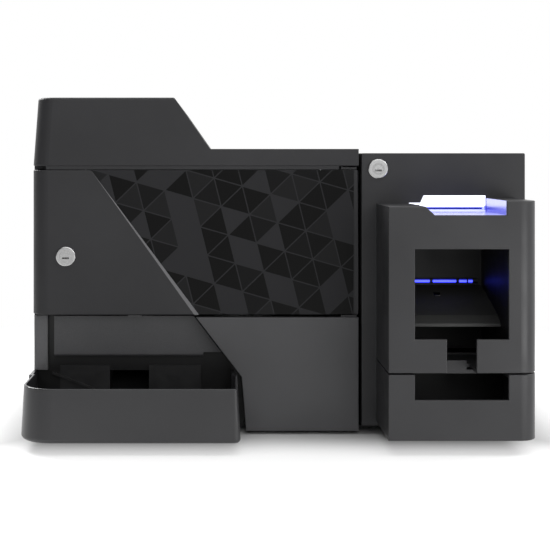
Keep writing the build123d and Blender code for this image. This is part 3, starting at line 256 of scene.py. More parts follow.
# Painted shade and light: the plate's face behind the pads is near black, and the pads and rib in
# front are lighter, varied by coin scuffs.
raised = add(tree, "MapRange", {
    "Value": place.outputs["Y"], "To Min": 1.0, "To Max": 0.0,
    "From Min": (plate_face - PAD_LIGHT_MASK[1]) / MM, "From Max": (plate_face - PAD_LIGHT_MASK[0]) / MM})
scuff = add(tree, "TexNoise", {
    "Vector": where, "Scale": per_mm(SCUFF), "Detail": 5.0, "Distortion": 1.0})
pads_painted_light_and_wear = add(tree, "MixRGB", {
    "Fac": scuff.outputs[0], "Color1": linear("#1D1D1E"), "Color2": linear("#2A2A2B")})
colour = add(tree, "MixRGB", {
    "Fac": raised.outputs[0], "Color1": linear("#0B0B0C"), "Color2": pads_painted_light_and_wear.outputs[0]})
rough = add(tree, "MapRange", {
    "Value": scuff.outputs[0], **NOISE_SPAN, "To Min": 0.36, "To Max": 0.52})
speck = add(tree, "TexNoise", {"Vector": where, "Scale": per_mm(GRAIN), "Detail": 2.0})
relief = add(tree, "Bump", {"Height": speck.outputs[0], "Strength": 0.3, "Distance": 0.03 / MM})
wire(tree, surface, {
    "Base Color": colour.outputs[0], "Roughness": rough.outputs[0], "Normal": relief.outputs[0]})
print("outlet plate with its face at y", round(plate_face, 1))

# %% [markdown]
# The leaning half of the coin door carries a printed sheet. Here it holds a plain design of its
# own: a mosaic of equal triangles, each printed in one of a few dark tones, with a hairline left
# between them. The triangles come from three sets of parallel lines 60 degrees apart: the number
# of the strip that a point lies in, taken from all three sets, names its triangle, and that name
# picks the tone. The ink is glossier than the grained sheet under it, which the last tone leaves
# bare.

# %% Printed door panel
TRIANGLE = 26.0  # height of a triangle
HAIRLINE = 0.022  # half the gap between triangles, as a share of that height
FIRST_ANGLE = 14  # degrees by which the first set of lines is turned
INKS = (  # from which chance on a triangle has this tone
    (0.0, "#020202"), (0.40, "#0C0C0D"), (0.54, "#1B1B1C"), (0.66, "#2E2E30"))
bare_from, bare_tone = INKS[-1]

printed_sheet, tree, surface, where = start("printed_polycarbonate_sheet", {
    "IOR": 1.55, "Specular IOR Level": 0.12})
place = add(tree, "SeparateXYZ", {"Vector": where})
strip_numbers = []
gap = None
for angle in (FIRST_ANGLE, FIRST_ANGLE + 60, FIRST_ANGLE + 120):
    turned = math.radians(angle)
    across = add(tree, "Math", {
        0: place.outputs["X"], 1: per_mm(TRIANGLE) * math.cos(turned)}, operation="MULTIPLY")
    strip = add(tree, "Math", {
        0: place.outputs["Z"], 1: per_mm(TRIANGLE) * math.sin(turned), 2: across.outputs[0]},
        operation="MULTIPLY_ADD")
    edge = add(tree, "Math", {0: strip.outputs[0], 1: 0.5}, operation="PINGPONG").outputs[0]
    gap = edge if gap is None else add(
        tree, "Math", {0: gap, 1: edge}, operation="MINIMUM").outputs[0]
    strip_numbers.append(add(tree, "Math", {0: strip.outputs[0]}, operation="FLOOR").outputs[0])
triangle = add(tree, "CombineXYZ", dict(zip("XYZ", strip_numbers)))
chance = add(tree, "TexWhiteNoise", {"Vector": triangle.outputs[0]}, noise_dimensions="3D")
ink = add(tree, "ValToRGB", {"Fac": chance.outputs["Value"]})
ink.color_ramp.interpolation = "CONSTANT"
while len(ink.color_ramp.elements) < len(INKS):
    ink.color_ramp.elements.new(0.5)
for stop, (start_at, code) in zip(ink.color_ramp.elements, INKS):
    stop.position = start_at
    stop.color = linear(code)
line = add(tree, "Math", {0: gap, 1: HAIRLINE}, operation="LESS_THAN")
colour = add(tree, "MixRGB", {
    "Fac": line.outputs[0], "Color1": ink.outputs[0], "Color2": linear(bare_tone)})
speck = add(tree, "TexNoise", {"Vector": where, "Scale": per_mm(GRAIN), "Detail": 2.0})
bare = add(tree, "Math", {0: chance.outputs["Value"], 1: bare_from}, operation="GREATER_THAN")
rough = add(tree, "MapRange", {"Value": bare.outputs[0], "To Min": 0.36, "To Max": 0.52})
relief = add(tree, "Bump", {"Height": speck.outputs[0], "Strength": 0.25, "Distance": 0.02 / MM})
wire(tree, surface, {
    "Base Color": colour.outputs[0], "Roughness": rough.outputs[0], "Normal": relief.outputs[0]})
print("printed sheet: triangles of", TRIANGLE, "mm in", len(INKS), "tones")

# %% [markdown]
# The case of each module is folded sheet steel with a black powder coat. The powder melts into a
# skin with a soft dimple, called orange peel, about 2 mm across. A noise of that size gives both
# the bump and the small changes of gloss.

# %% Powder coat
PEEL, CLOUD = 2.2, 90  # size of the dimples, and of the slow changes of tone

coated_steel, tree, surface, where = start("steel_black_powder_coat", {
    "IOR": 1.5, "Specular IOR Level": 0.4})
peel = add(tree, "TexNoise", {"Vector": where, "Scale": per_mm(PEEL), "Detail": 1.0})
cloud = add(tree, "TexNoise", {"Vector": where, "Scale": per_mm(CLOUD), "Detail": 3.0})
fleck = add(tree, "MapRange", {
    "Value": cloud.outputs[0], **NOISE_SPAN, "To Min": 0.88, "To Max": 1.12})
colour = add(tree, "MixRGB", {
    "Fac": 1.0, "Color1": linear("#2B2B2D"), "Color2": fleck.outputs[0]}, blend_type="MULTIPLY")
rough = add(tree, "MapRange", {
    "Value": peel.outputs[0], **NOISE_SPAN, "To Min": 0.42, "To Max": 0.52})
relief = add(tree, "Bump", {"Height": peel.outputs[0], "Strength": 0.4, "Distance": 0.08 / MM})
wire(tree, surface, {
    "Base Color": colour.outputs[0], "Roughness": rough.outputs[0], "Normal": relief.outputs[0]})
print("case", coated_steel.name)

# %% [markdown]
# The brackets, rails and screws are zinc plated, which leaves faint cloudy grains in a cool grey
# metal. The power supply has a plain aluminium case with the rolling direction showing as fine
# lines. Both are one noise: a Mapping node leaves it even for the zinc and draws it out for the
# aluminium.

# %% Bare metals
METAL_SWING = 0.08  # how much the grain varies the roughness


def bare_metal(name, dark, light, roughness, grain, stretch):
    """Plain or plated metal whose grain is `grain` mm, drawn out by `stretch` along each axis."""
    made, tree, surface, where = start(name, {"Metallic": 1.0})
    drawn = add(tree, "Mapping", {"Vector": where, "Scale": stretch})
    lines = add(tree, "TexNoise", {
        "Vector": drawn.outputs[0], "Scale": per_mm(grain), "Detail": 4.0})
    tone = add(tree, "MapRange", {"Value": lines.outputs[0], **NOISE_SPAN})
    colour = add(tree, "MixRGB", {
        "Fac": tone.outputs[0], "Color1": linear(dark), "Color2": linear(light)})
    rough = add(tree, "MapRange", {
        "Value": lines.outputs[0], **NOISE_SPAN,
        "To Min": roughness - METAL_SWING, "To Max": roughness + METAL_SWING})
    relief = add(tree, "Bump", {
        "Height": lines.outputs[0], "Strength": 0.2, "Distance": 0.03 / MM})
    wire(tree, surface, {
        "Base Color": colour.outputs[0], "Roughness": rough.outputs[0],
        "Normal": relief.outputs[0]})
    return made


zinc_steel = bare_metal("steel_zinc_plated", "#9DA1A3", "#BFC2C2", 0.36, 9.0, (1, 1, 1))
aluminium = bare_metal("aluminium_rolled_sheet", "#B4B6B8", "#C6C8C9", 0.34, 1.2, (0.04, 1, 1))
print("metals", zinc_steel.name, aluminium.name)

# %% [markdown]
# The two cam locks have turned, nickel-plated heads. Turning leaves rings about the lock's axis,
# so the ring pattern is centred on each lock with a Mapping node. Real tool marks are too fine to
# show here, so the rings are drawn about 5 mm apart, as a slow change of gloss from the middle
# outwards.

# %% Lock finish
RING = 5.03  # from ring to ring
WAVES = 20 / (2 * math.pi)  # rings per metre in a Wave texture whose scale is 1
WEAR = 3  # size of the patches that keys rub


def turned_nickel(name, centre):
    """Nickel plate over a turned face, with rings about `centre`, which is in metres."""
    made, tree, surface, where = start(name, {"Metallic": 1.0})
    moved = add(tree, "Mapping", {
        "Vector": where, "Location": (-centre.x, 0, -centre.z), "Scale": (1, 0, 1)})
    rings = add(tree, "TexWave", {
        "Vector": moved.outputs[0], "Scale": per_mm(RING) / WAVES, "Distortion": 0.4},
        wave_type="RINGS", rings_direction="SPHERICAL")
    wear = add(tree, "TexNoise", {"Vector": where, "Scale": per_mm(WEAR), "Detail": 4.0})
    colour = add(tree, "MixRGB", {
        "Fac": wear.outputs[0], "Color1": linear("#B2B2B2"), "Color2": linear("#C6C6C6")})
    rough = add(tree, "MapRange", {"Value": rings.outputs[0], "To Min": 0.24, "To Max": 0.34})
    relief = add(tree, "Bump", {
        "Height": rings.outputs[0], "Strength": 0.15, "Distance": 0.02 / MM})
    wire(tree, surface, {
        "Base Color": colour.outputs[0], "Roughness": rough.outputs[0],
        "Normal": relief.outputs[0]})
    return made


lock_finish = {}
for lock in ("coin_lock", "note_lock"):
    low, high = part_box(lock + "_plug")
    centre = (low + high) / 2
    lock_finish[lock] = turned_nickel(lock + "_nickel_plate", centre)
    print(lock, "centred at x", round(centre.x, 4), "z", round(centre.z, 4))

# %% [markdown]
# Rubber feet and rollers are matte with a dusty bloom: one noise gives the tone, the roughness and
# a faint bump.

# %% Rubber
BLOOM = 4  # size of the dusty patches

rubber, tree, surface, where = start("rubber_black", {"IOR": 1.5, "Specular IOR Level": 0.25})
bloom = add(tree, "TexNoise", {"Vector": where, "Scale": per_mm(BLOOM), "Detail": 5.0})
colour = add(tree, "MixRGB", {
    "Fac": bloom.outputs[0], "Color1": linear("#141414"), "Color2": linear("#232323")})
rough = add(tree, "MapRange", {"Value": bloom.outputs[0], "To Min": 0.7, "To Max": 0.9})
relief = add(tree, "Bump", {"Height": bloom.outputs[0], "Strength": 0.2, "Distance": 0.05 / MM})
wire(tree, surface, {
    "Base Color": colour.outputs[0], "Roughness": rough.outputs[0], "Normal": relief.outputs[0]})
print("rubber", rubber.name)

# %% [markdown]
# The control board is green solder mask over copper. Straight tracks run under the mask as
# slightly lighter lines, and the joints of a Brick texture draw them.

# %% Circuit board
TRACK_GRID, SMEAR = 20, 6  # size of the track pattern, and of the changes of gloss

board_mask, tree, surface, where = start("circuit_board_solder_mask", {"IOR": 1.5})
tracks = add(tree, "TexBrick", {
    "Vector": where, "Scale": per_mm(TRACK_GRID), "Mortar Size": 0.02, "Bias": 0.0,
    "Brick Width": 0.9, "Row Height": 0.12, "Color1": linear("#0C3A22"),
    "Color2": linear("#0E4226"), "Mortar": linear("#1D6A3C")})
smear = add(tree, "TexNoise", {"Vector": where, "Scale": per_mm(SMEAR), "Detail": 3.0})
rough = add(tree, "MapRange", {"Value": smear.outputs[0], "To Min": 0.25, "To Max": 0.45})
relief = add(tree, "Bump", {
    "Height": tracks.outputs["Fac"], "Strength": 0.3, "Distance": 0.04 / MM}, invert=True)
wire(tree, surface, {
    "Base Color": tracks.outputs["Color"], "Roughness": rough.outputs[0],
    "Normal": relief.outputs[0]})
print("board", board_mask.name)

# %% [markdown]
# The note inlet is lit. A white diffuser closes the back of its channel: its lit part starts at a
# slant on the left, above a thin lit foot, and turns blue round the slot where the note goes in.
# It could be cut into pieces that glow and pieces that don't, but it is one moulding, so masks on
# Object coordinates say where it glows.

# %% Slot diffuser
def between(tree, value, ends, soft):
    """1 where a coordinate lies between two places in millimetres, with soft ends."""
    low, high = ends
    rise = add(tree, "MapRange", {
        "Value": value, "From Min": (low - soft) / MM, "From Max": (low + soft) / MM})
    fall = add(tree, "MapRange", {
        "Value": value, "From Min": (high - soft) / MM, "From Max": (high + soft) / MM,
        "To Min": 1.0, "To Max": 0.0})
    both = add(tree, "Math", {0: rise.outputs[0], 1: fall.outputs[0]}, operation="MULTIPLY")
    return both.outputs[0]


BAND_LEAN = 0.44  # how far the lit band's left edge leans to the right for each millimetre up
BAND_X = (41.3, 200.0)  # its left edge carried down to the ground, and an end past the slot's
FOOT_X, FOOT_Z = (134.0, 160.0), (234.9, 236.9)  # the thin lit foot
RIM_Z = (229.4, 233.9)  # the blue round the slot
UNDER_Z = (220.0, 229.4)  # the paler blue from there down

white_glow, tree, surface, where = start("diffuser_opal_white_lit", {
    "IOR": 1.5, "Roughness": 0.4, "Emission Strength": 1.5})
place = add(tree, "SeparateXYZ", {"Vector": where})
slant = add(tree, "Math", {
    0: place.outputs["Z"], 1: -BAND_LEAN, 2: place.outputs["X"]}, operation="MULTIPLY_ADD")
band = between(tree, slant.outputs[0], BAND_X, soft=0.6)
foot_high = between(tree, place.outputs["Z"], FOOT_Z, soft=0.4)
foot_long = between(tree, place.outputs["X"], FOOT_X, soft=0.5)
foot = add(tree, "Math", {0: foot_high, 1: foot_long}, operation="MULTIPLY")
lit = add(tree, "Math", {0: band, 1: foot.outputs[0]}, operation="MAXIMUM").outputs[0]
rim = between(tree, place.outputs["Z"], RIM_Z, soft=0.4)
under = between(tree, place.outputs["Z"], UNDER_Z, soft=0.3)
shine = add(tree, "MixRGB", {
    "Fac": rim, "Color1": linear("#F0F2FF"), "Color2": linear("#3C44E0")})
shine = add(tree, "MixRGB", {
    "Fac": under, "Color1": shine.outputs[0], "Color2": linear("#9DA1F4")})
masked = add(tree, "MixRGB", {
    "Fac": lit, "Color1": linear("#07070A"), "Color2": shine.outputs[0]})
body = add(tree, "MixRGB", {
    "Fac": lit, "Color1": linear("#1A1A1D"), "Color2": linear("#D8DCEE")})
wire(tree, surface, {"Base Color": body.outputs[0], "Emission Color": masked.outputs[0]})
print("diffuser lit above z", RIM_Z[1])

# %% [markdown]
# The liner of the inlet channel is clear plastic and no lamp. It glows with a cold blue, a painted
# light that stands for the slot's light falling on it. Its floor fades towards the slot, and its
# right wall is deep blue at the foot and pale at the top, so the wall is told from the floor by its
# place along X.

# %% Channel liner
FLOOR_Y = (-266.0, -185.0)  # from the bezel's face back to the slot
WALL_X = (212.0, 212.6)  # where the floor ends and the wall starts
WALL_Z = (231.0, 237.5)  # over which the wall grows pale

blue_liner, tree, surface, where = start("liner_clear_painted_blue_glow", {
    "Base Color": linear("#34365E"), "IOR": 1.49, "Roughness": 0.25, "Emission Strength": 0.72})
place = add(tree, "SeparateXYZ", {"Vector": where})
depth = add(tree, "MapRange", {
    "Value": place.outputs["Y"], "From Min": FLOOR_Y[0] / MM, "From Max": FLOOR_Y[1] / MM})
height = add(tree, "MapRange", {
    "Value": place.outputs["Z"], "From Min": WALL_Z[0] / MM, "From Max": WALL_Z[1] / MM},
    interpolation_type="SMOOTHSTEP")
wall = add(tree, "MapRange", {
    "Value": place.outputs["X"], "From Min": WALL_X[0] / MM, "From Max": WALL_X[1] / MM})
flat = add(tree, "MixRGB", {
    "Fac": depth.outputs[0], "Color1": linear("#9EA1EE"), "Color2": linear("#7478D6")})
upright = add(tree, "MixRGB", {
    "Fac": height.outputs[0], "Color1": linear("#0A0CC4"), "Color2": linear("#C0C2FF")})
blend = add(tree, "MixRGB", {
    "Fac": wall.outputs[0], "Color1": flat.outputs[0], "Color2": upright.outputs[0]})
# Painted light: the liner glows, though it is no lamp.
wire(tree, surface, {"Emission Color": blend.outputs[0]})
print("liner", blue_liner.name)

# %% [markdown]
# Each CAD node now gets its finish. The first table goes by the record's slots, and the second
# names the few nodes that need a finish of their own.

# %% Finish the CAD nodes
by_slot = {
    "shell_plastic": shell_abs, "panel_plastic": panel_abs, "bezel_plastic": bezel_abs,
    "inner_plastic": inner_abs, "print_panel": printed_sheet, "case_steel": coated_steel,
    "zinc_steel": zinc_steel, "supply_case": aluminium, "black_rubber": rubber,
    "circuit_board": board_mask, "white_light": white_glow, "blue_light": blue_liner}
own_finish = {
    "door_cover": door_abs, "door_pivots": coated_steel, "lower_front_panel": light_abs,
    "outlet_panel": light_abs, "outlet_plate": outlet_abs, "left_post": post_abs,
    "coin_tray": tray_abs, "note_plate": plate_abs, "note_bay": bay_abs, "led_bar": inner_abs}
for lock, nickel in lock_finish.items():
    own_finish[lock + "_barrel"] = nickel
    own_finish[lock + "_plug"] = nickel
for name, piece in nodes.items():
    slot_name = piece.data.materials[0].name.split(".")[0]
    piece.data.materials[0] = own_finish[name] if name in own_finish else by_slot[slot_name]
print("finished", len(nodes), "CAD nodes,", len(own_finish), "of them with a finish of their own")

# %% [markdown]
# The small fittings are modelled as by hand, and nearly all of them start as a block. An operator
# acts on all that is selected, so `pick` selects only what is meant, and `select_faces` finds
# faces by the way that they look. `round_face` bevels the edges round such faces, and
# `round_edges` all sharp ones.

# %% Modelling tools
FRONT, BACK, UP, DOWN = (Vector(way) for way in ((0, -1, 0), (0, 1, 0), (0, 0, 1), (0, 0, -1)))
SAME_WAY = 0.9  # least cosine between a face's normal and the way that it is said to look
SMOOTH = math.radians(40)  # flatter edges are shaded smooth


def pick(*pieces):
    """Selects these pieces and nothing else, with the first one active."""
    bpy.ops.object.select_all(action="DESELECT")
    for piece in pieces:
        piece.select_set(True)
    if pieces:
        bpy.context.view_layer.objects.active = pieces[0]


def block(name, low, high):
    """A box between two corners in millimetres, at the origin with its place in its mesh."""
    pick()
    bpy.ops.mesh.primitive_cube_add(size=1)
    made = bpy.context.object
    made.name = name
    made.data.name = name
    made.scale = [(b - a) / MM for a, b in zip(low, high)]
    made.location = [(a + b) / 2 / MM for a, b in zip(low, high)]
    bpy.ops.object.transform_apply(location=True, rotation=True, scale=True)
    return made


def select_faces(piece, way):
    """Enters edit mode with the faces selected that look a given way."""
    bpy.ops.object.mode_set(mode="EDIT")
    bpy.ops.mesh.select_mode(type="FACE")
    bpy.ops.mesh.select_all(action="DESELECT")
    mesh = bmesh.from_edit_mesh(piece.data)
    for face in mesh.faces:
        face.select = face.normal.dot(way) > SAME_WAY
    mesh.select_flush_mode()
    bmesh.update_edit_mesh(piece.data)


def round_face(piece, way, width, segments=3):
    """A bevel in edit mode round the faces that look a given way."""
    select_faces(piece, way)
    bpy.ops.mesh.bevel(offset=width / MM, segments=segments, affect="EDGES")
    bpy.ops.object.mode_set(mode="OBJECT")


def round_edges(piece, width, segments=2):
    """A bevel modifier on the sharp edges, applied, and smooth shading over it."""
    pick(piece)
    bevel = piece.modifiers.new("rounded", "BEVEL")
    bevel.width = width / MM
    bevel.segments = segments
    bevel.limit_method = "ANGLE"
    bpy.ops.object.modifier_apply(modifier=bevel.name)
    bpy.ops.object.shade_smooth_by_angle(angle=SMOOTH)


print("modelling tools ready")

# %% [markdown]
# In the note bay a thin bar holds a row of blue lamps: four moulded lenses of different lengths.
# Each starts as a block of its size. In edit mode the front face is inset and pulled forward a
# little, which makes the low crown that a lens has, and a bevel rounds its edges. The glow lies in
# the lower half of each lens and dies away above.

# %% Bay lamps
LAMP_SPANS = ((131.0, 159.4), (162.8, 187.0), (190.3, 198.0), (199.8, 204.2))  # left and right ends
LENS_PROUD, LENS_ROOT = 1.0, 0.3  # how far a lens stands out of the bar, and how far it goes in
LENS_MARGIN = 0.2  # between a lens and the bar's lower and upper edges
CROWN_INSET, CROWN_RISE, LENS_ROUND = 0.5, 0.4, 0.25
GLOW_END = (1.9, 2.9)  # above the bar's foot: the glow starts to die away, is gone
bar_low, bar_high = box_mm("led_bar")

blue_lamp, tree, surface, where = start("lamp_lens_blue_lit", {
    "IOR": 1.49, "Roughness": 0.2, "Emission Strength": 4.0})
place = add(tree, "SeparateXYZ", {"Vector": where})
upper = add(tree, "MapRange", {
    "Value": place.outputs["Z"], "From Min": (bar_low.z + GLOW_END[0]) / MM,
    "From Max": (bar_low.z + GLOW_END[1]) / MM})
shine = add(tree, "MixRGB", {
    "Fac": upper.outputs[0], "Color1": linear("#3A42F0"), "Color2": linear("#04062E")})
wire(tree, surface, {"Base Color": shine.outputs[0], "Emission Color": shine.outputs[0]})

for number, (left, right) in enumerate(LAMP_SPANS, 1):
    lens = block(f"bay_lamp_{number}",
                 (left, bar_low.y - LENS_PROUD, bar_low.z + LENS_MARGIN),
                 (right, bar_low.y + LENS_ROOT, bar_high.z - LENS_MARGIN))
    select_faces(lens, FRONT)
    bpy.ops.mesh.inset(thickness=CROWN_INSET / MM)
    bpy.ops.transform.translate(value=(0, -CROWN_RISE / MM, 0))
    bpy.ops.object.mode_set(mode="OBJECT")
    round_edges(lens, LENS_ROUND, 3)
    lens.data.materials.append(blue_lamp)
    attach(lens, "note_module")
    print(lens.name, "from x", left, "to", right)

# %% [markdown]
# A ledge under the lamps keeps their light off the note plate. It is a strip of the bar's own
# moulding: a long block whose front face is narrowed to a lip.

# %% Lamp ledge
LEDGE_REACH, LEDGE_ROOT = 6.0, 0.5  # in front of the bar's face, and behind it
LEDGE_THICK, LEDGE_ROUND = 0.6, 0.12
LIP_SHARE = 0.5  # thickness of the lip, as a share of the ledge's

ledge = block("bay_lamp_ledge",
              (bar_low.x, bar_low.y - LEDGE_REACH, bar_low.z - LEDGE_THICK),
              (bar_high.x, bar_low.y + LEDGE_ROOT, bar_low.z))
select_faces(ledge, FRONT)
bpy.ops.transform.resize(value=(1, 1, LIP_SHARE))
bpy.ops.object.mode_set(mode="OBJECT")
round_edges(ledge, LEDGE_ROUND)
ledge.data.materials.append(inner_abs)
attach(ledge, "note_module")
print("lamp ledge", round(bar_high.x - bar_low.x, 1), "mm long")

# %% [markdown]
# Behind the note slot a thin clear guide leads the note up to the rollers. It is lit from its
# edge, so it shows as a deep blue line in the slot. It is a flat block whose rear face is lifted
# to the nip.

# %% Slot guide
GUIDE_Y = (-170.0, -138.0)  # over which the edge light fades
GUIDE_Z = (0.8, 1.8)  # its faces above the diffuser's foot
GUIDE_LEFT, GUIDE_RIGHT = 2.0, 7.0  # how far it goes past the diffuser
GUIDE_LAP, ROLLER_GAP = 0.2, 1.5  # into the diffuser's back, and short of the roller
GUIDE_LIFT, GUIDE_ROUND = 2.0, 0.2
slot_low, slot_high = box_mm("slot_light")
guide_end = box_mm("note_feed_roller")[0].y - ROLLER_GAP

guide_blue, tree, surface, where = start("guide_clear_edge_lit", {
    "Base Color": linear("#101438"), "IOR": 1.49, "Roughness": 0.2, "Emission Strength": 0.5})
place = add(tree, "SeparateXYZ", {"Vector": where})
run = add(tree, "MapRange", {
    "Value": place.outputs["Y"], "From Min": GUIDE_Y[0] / MM, "From Max": GUIDE_Y[1] / MM})
shine = add(tree, "MixRGB", {
    "Fac": run.outputs[0], "Color1": linear("#2A36D8"), "Color2": linear("#1C2AC0")})
wire(tree, surface, {"Emission Color": shine.outputs[0]})

guide = block("slot_guide",
              (slot_low.x - GUIDE_LEFT, slot_high.y - GUIDE_LAP, slot_low.z + GUIDE_Z[0]),
              (slot_high.x + GUIDE_RIGHT, guide_end, slot_low.z + GUIDE_Z[1]))
select_faces(guide, BACK)
bpy.ops.transform.translate(value=(0, 0, GUIDE_LIFT / MM))
bpy.ops.object.mode_set(mode="OBJECT")
round_edges(guide, GUIDE_ROUND)
guide.data.materials.append(guide_blue)
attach(guide, "note_module")
print("slot guide up to y", round(guide_end, 1))

# %% [markdown]
# A lip of the same opal plastic hangs from the top of the slot and leaves a gap of little more
# than two millimetres for the note. It is a long block with its lower edges rounded, so that the
# note can't catch.

# %% Slot lip
LIP_X = (144.6, 210.4)
LIP_Y = (0.3, 2.8)  # behind the diffuser's face
LIP_FOOT, SLOT_TOP, LIP_ROUND = 232.3, 234.5, 0.6
LIP_SEAT = 0.2  # into the diffuser above the slot
LIP_GLOW = (232.2, 233.6)  # over which the blue of its foot turns white

lip_glow, tree, surface, where = start("lip_opal_lit", {
    "IOR": 1.5, "Roughness": 0.4, "Emission Strength": 1.4})
place = add(tree, "SeparateXYZ", {"Vector": where})
rise = add(tree, "MapRange", {
    "Value": place.outputs["Z"], "From Min": LIP_GLOW[0] / MM, "From Max": LIP_GLOW[1] / MM})
shine = add(tree, "MixRGB", {
    "Fac": rise.outputs[0], "Color1": linear("#B9BEFF"), "Color2": linear("#F0F2FF")})
wire(tree, surface, {"Base Color": shine.outputs[0], "Emission Color": shine.outputs[0]})

lip = block("slot_lip", (LIP_X[0], slot_low.y + LIP_Y[0], LIP_FOOT),
            (LIP_X[1], slot_low.y + LIP_Y[1], SLOT_TOP + LIP_SEAT))
round_face(lip, DOWN, LIP_ROUND)
bpy.ops.object.shade_smooth_by_angle(angle=SMOOTH)
lip.data.materials.append(lip_glow)
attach(lip, "note_module")
print("slot lip", round(LIP_X[1] - LIP_X[0], 1), "mm long")

# %% [markdown]
# A small smoked window in the note plate covers the sensor that sees a note lying there. It is a
# thin block laid on the slope of the plate: it is made flat, its top face is inset and pushed in
# for the frame round the window, and then it is turned by the slope about its own middle.

# %% Note sensor
HAZE = 8  # size of the faint clouds in the acrylic
PLATE_RUN, PLATE_FALL = 74.0, 22.0  # of the slope, which starts at the plate's rear edge
SENSOR_X, SENSOR_RUN = 163.4, 24.0  # its middle across, and how far down the slope's run it lies
SENSOR_LOW = Vector((-3.2, -4.0, -0.6))  # from its middle to its low corner
SENSOR_HIGH = Vector((3.2, 4.0, 0.5))
FRAME_WIDTH, WINDOW_DEPTH, SENSOR_ROUND = 0.6, 0.3, 0.15

smoked, tree, surface, where = start("acrylic_smoked", {"IOR": 1.49, "Specular IOR Level": 0.5})
haze = add(tree, "TexNoise", {"Vector": where, "Scale": per_mm(HAZE), "Detail": 3.0})
colour = add(tree, "MixRGB", {
    "Fac": haze.outputs[0], "Color1": linear("#070708"), "Color2": linear("#0D0D0F")})
rough = add(tree, "MapRange", {"Value": haze.outputs[0], "To Min": 0.08, "To Max": 0.18})
wire(tree, surface, {"Base Color": colour.outputs[0], "Roughness": rough.outputs[0]})

plate_high = box_mm("note_plate")[1]
sensor_fall = SENSOR_RUN * PLATE_FALL / PLATE_RUN
sensor_at = Vector((SENSOR_X, plate_high.y - SENSOR_RUN, plate_high.z - sensor_fall))
sensor = block("note_sensor", sensor_at + SENSOR_LOW, sensor_at + SENSOR_HIGH)
select_faces(sensor, UP)
bpy.ops.mesh.inset(thickness=FRAME_WIDTH / MM)
bpy.ops.transform.translate(value=(0, 0, -WINDOW_DEPTH / MM))
bpy.ops.mesh.select_all(action="SELECT")
bpy.ops.transform.rotate(value=-math.atan2(PLATE_FALL, PLATE_RUN), orient_axis="X",
                         center_override=tuple(sensor_at / MM))
bpy.ops.object.mode_set(mode="OBJECT")
round_edges(sensor, SENSOR_ROUND)
sensor.data.materials.append(smoked)
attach(sensor, "note_module")
print("note sensor at", [round(value, 1) for value in sensor_at])

# %% [markdown]
# A closing strip under the hood's front edge keeps daylight and dust out of the gap above the
# door. It is the hood's own plastic: a long block whose lower edges are rounded, with a short
# block set back at the round corner, and it ends before the door's pivot. It rides with the hood
# and stays a quarter of a millimetre off the door.

# %% Hood closing strip
STRIP_START = 15.0  # in from the hood's left side, past its round corner
STRIP_Y = (0.9, 3.4)  # behind the hood's front face
END_START, END_LAP = 1.5, 2.0  # in from the hood's left side, and how far it runs beside the strip
END_Y = (13.0, 21.0)
DOOR_GAP, HOOD_SEAT = 0.25, 0.2  # above the door, and into the hood
PIVOT_GAP, STRIP_ROUND = 2.0, 0.6
hood_low = box_mm("hood_shell")[0]
strip_foot = box_mm("door_cover")[1].z + DOOR_GAP
strip_top = hood_low.z + HOOD_SEAT
strip_left = hood_low.x + STRIP_START
strip_right = box_mm("door_pivots")[0].x - PIVOT_GAP

strip = block("hood_closing_strip", (strip_left, hood_low.y + STRIP_Y[0], strip_foot),
              (strip_right, hood_low.y + STRIP_Y[1], strip_top))
strip_end = block("hood_closing_strip_end",
                  (hood_low.x + END_START, hood_low.y + END_Y[0], strip_foot),
                  (strip_left + END_LAP, hood_low.y + END_Y[1], strip_top))
pick(strip, strip_end)
bpy.ops.object.join()
round_face(strip, DOWN, STRIP_ROUND)
bpy.ops.object.shade_smooth_by_angle(angle=SMOOTH)
strip.data.materials.append(shell_abs)
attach(strip, "hood")
print("closing strip from x", round(strip_left, 1), "to", round(strip_right, 1))

# %% [markdown]
# The rear panel is held by six pan-head screws with a cross recess. One head is turned from a
# cylinder: its outer edge is bevelled to the low dome of a pan head, and a Boolean with two
# tapered bars cuts the cross.

# %% Rear screw head
HEAD_RADIUS, HEAD_HEIGHT, DOME = 3.5, 2.2, 1.1
BAR_X, BAR_Z = 1.9, 0.45  # half the length and half the width of a recess bar
RECESS_DEPTH, BAR_PROUD = 1.3, 0.5  # into the head, and out of it for a clean cut
BAR_TAPER = (0.45, 1, 0.6)
screw_low, screw_high = box_mm("rear_screws")

pick()
bpy.ops.mesh.primitive_cylinder_add(
    vertices=40, radius=HEAD_RADIUS / MM, depth=HEAD_HEIGHT / MM)
head = bpy.context.object
head.rotation_euler = (math.radians(-90), 0, 0)
head.location = (0, (screw_high.y - HEAD_HEIGHT / 2) / MM, 0)
bpy.ops.object.transform_apply(location=True, rotation=True, scale=True)
round_face(head, BACK, DOME, 4)
for turn in (0, 90):
    bar = block("recess_bar", (-BAR_X, screw_high.y - RECESS_DEPTH, -BAR_Z),
                (BAR_X, screw_high.y + BAR_PROUD, BAR_Z))
    select_faces(bar, FRONT)
    bpy.ops.transform.resize(value=BAR_TAPER)
    bpy.ops.mesh.select_all(action="SELECT")
    bpy.ops.transform.rotate(
        value=math.radians(turn), orient_axis="Y", center_override=(0, 0, 0))
    bpy.ops.object.mode_set(mode="OBJECT")
    cut = head.modifiers.new("recess", "BOOLEAN")
    cut.object = bar
    cut.operation = "DIFFERENCE"
    pick(head)
    bpy.ops.object.modifier_apply(modifier=cut.name)
    bpy.data.objects.remove(bar)
print("one screw head with", len(head.data.polygons), "faces")

# %% [markdown]
# The head is copied to the six places, which are read from the CAD screws: two columns at the ends
# of their box, one where vertices lie well between them, and two rows. The copies are joined, so
# that one piece stands for that one node.

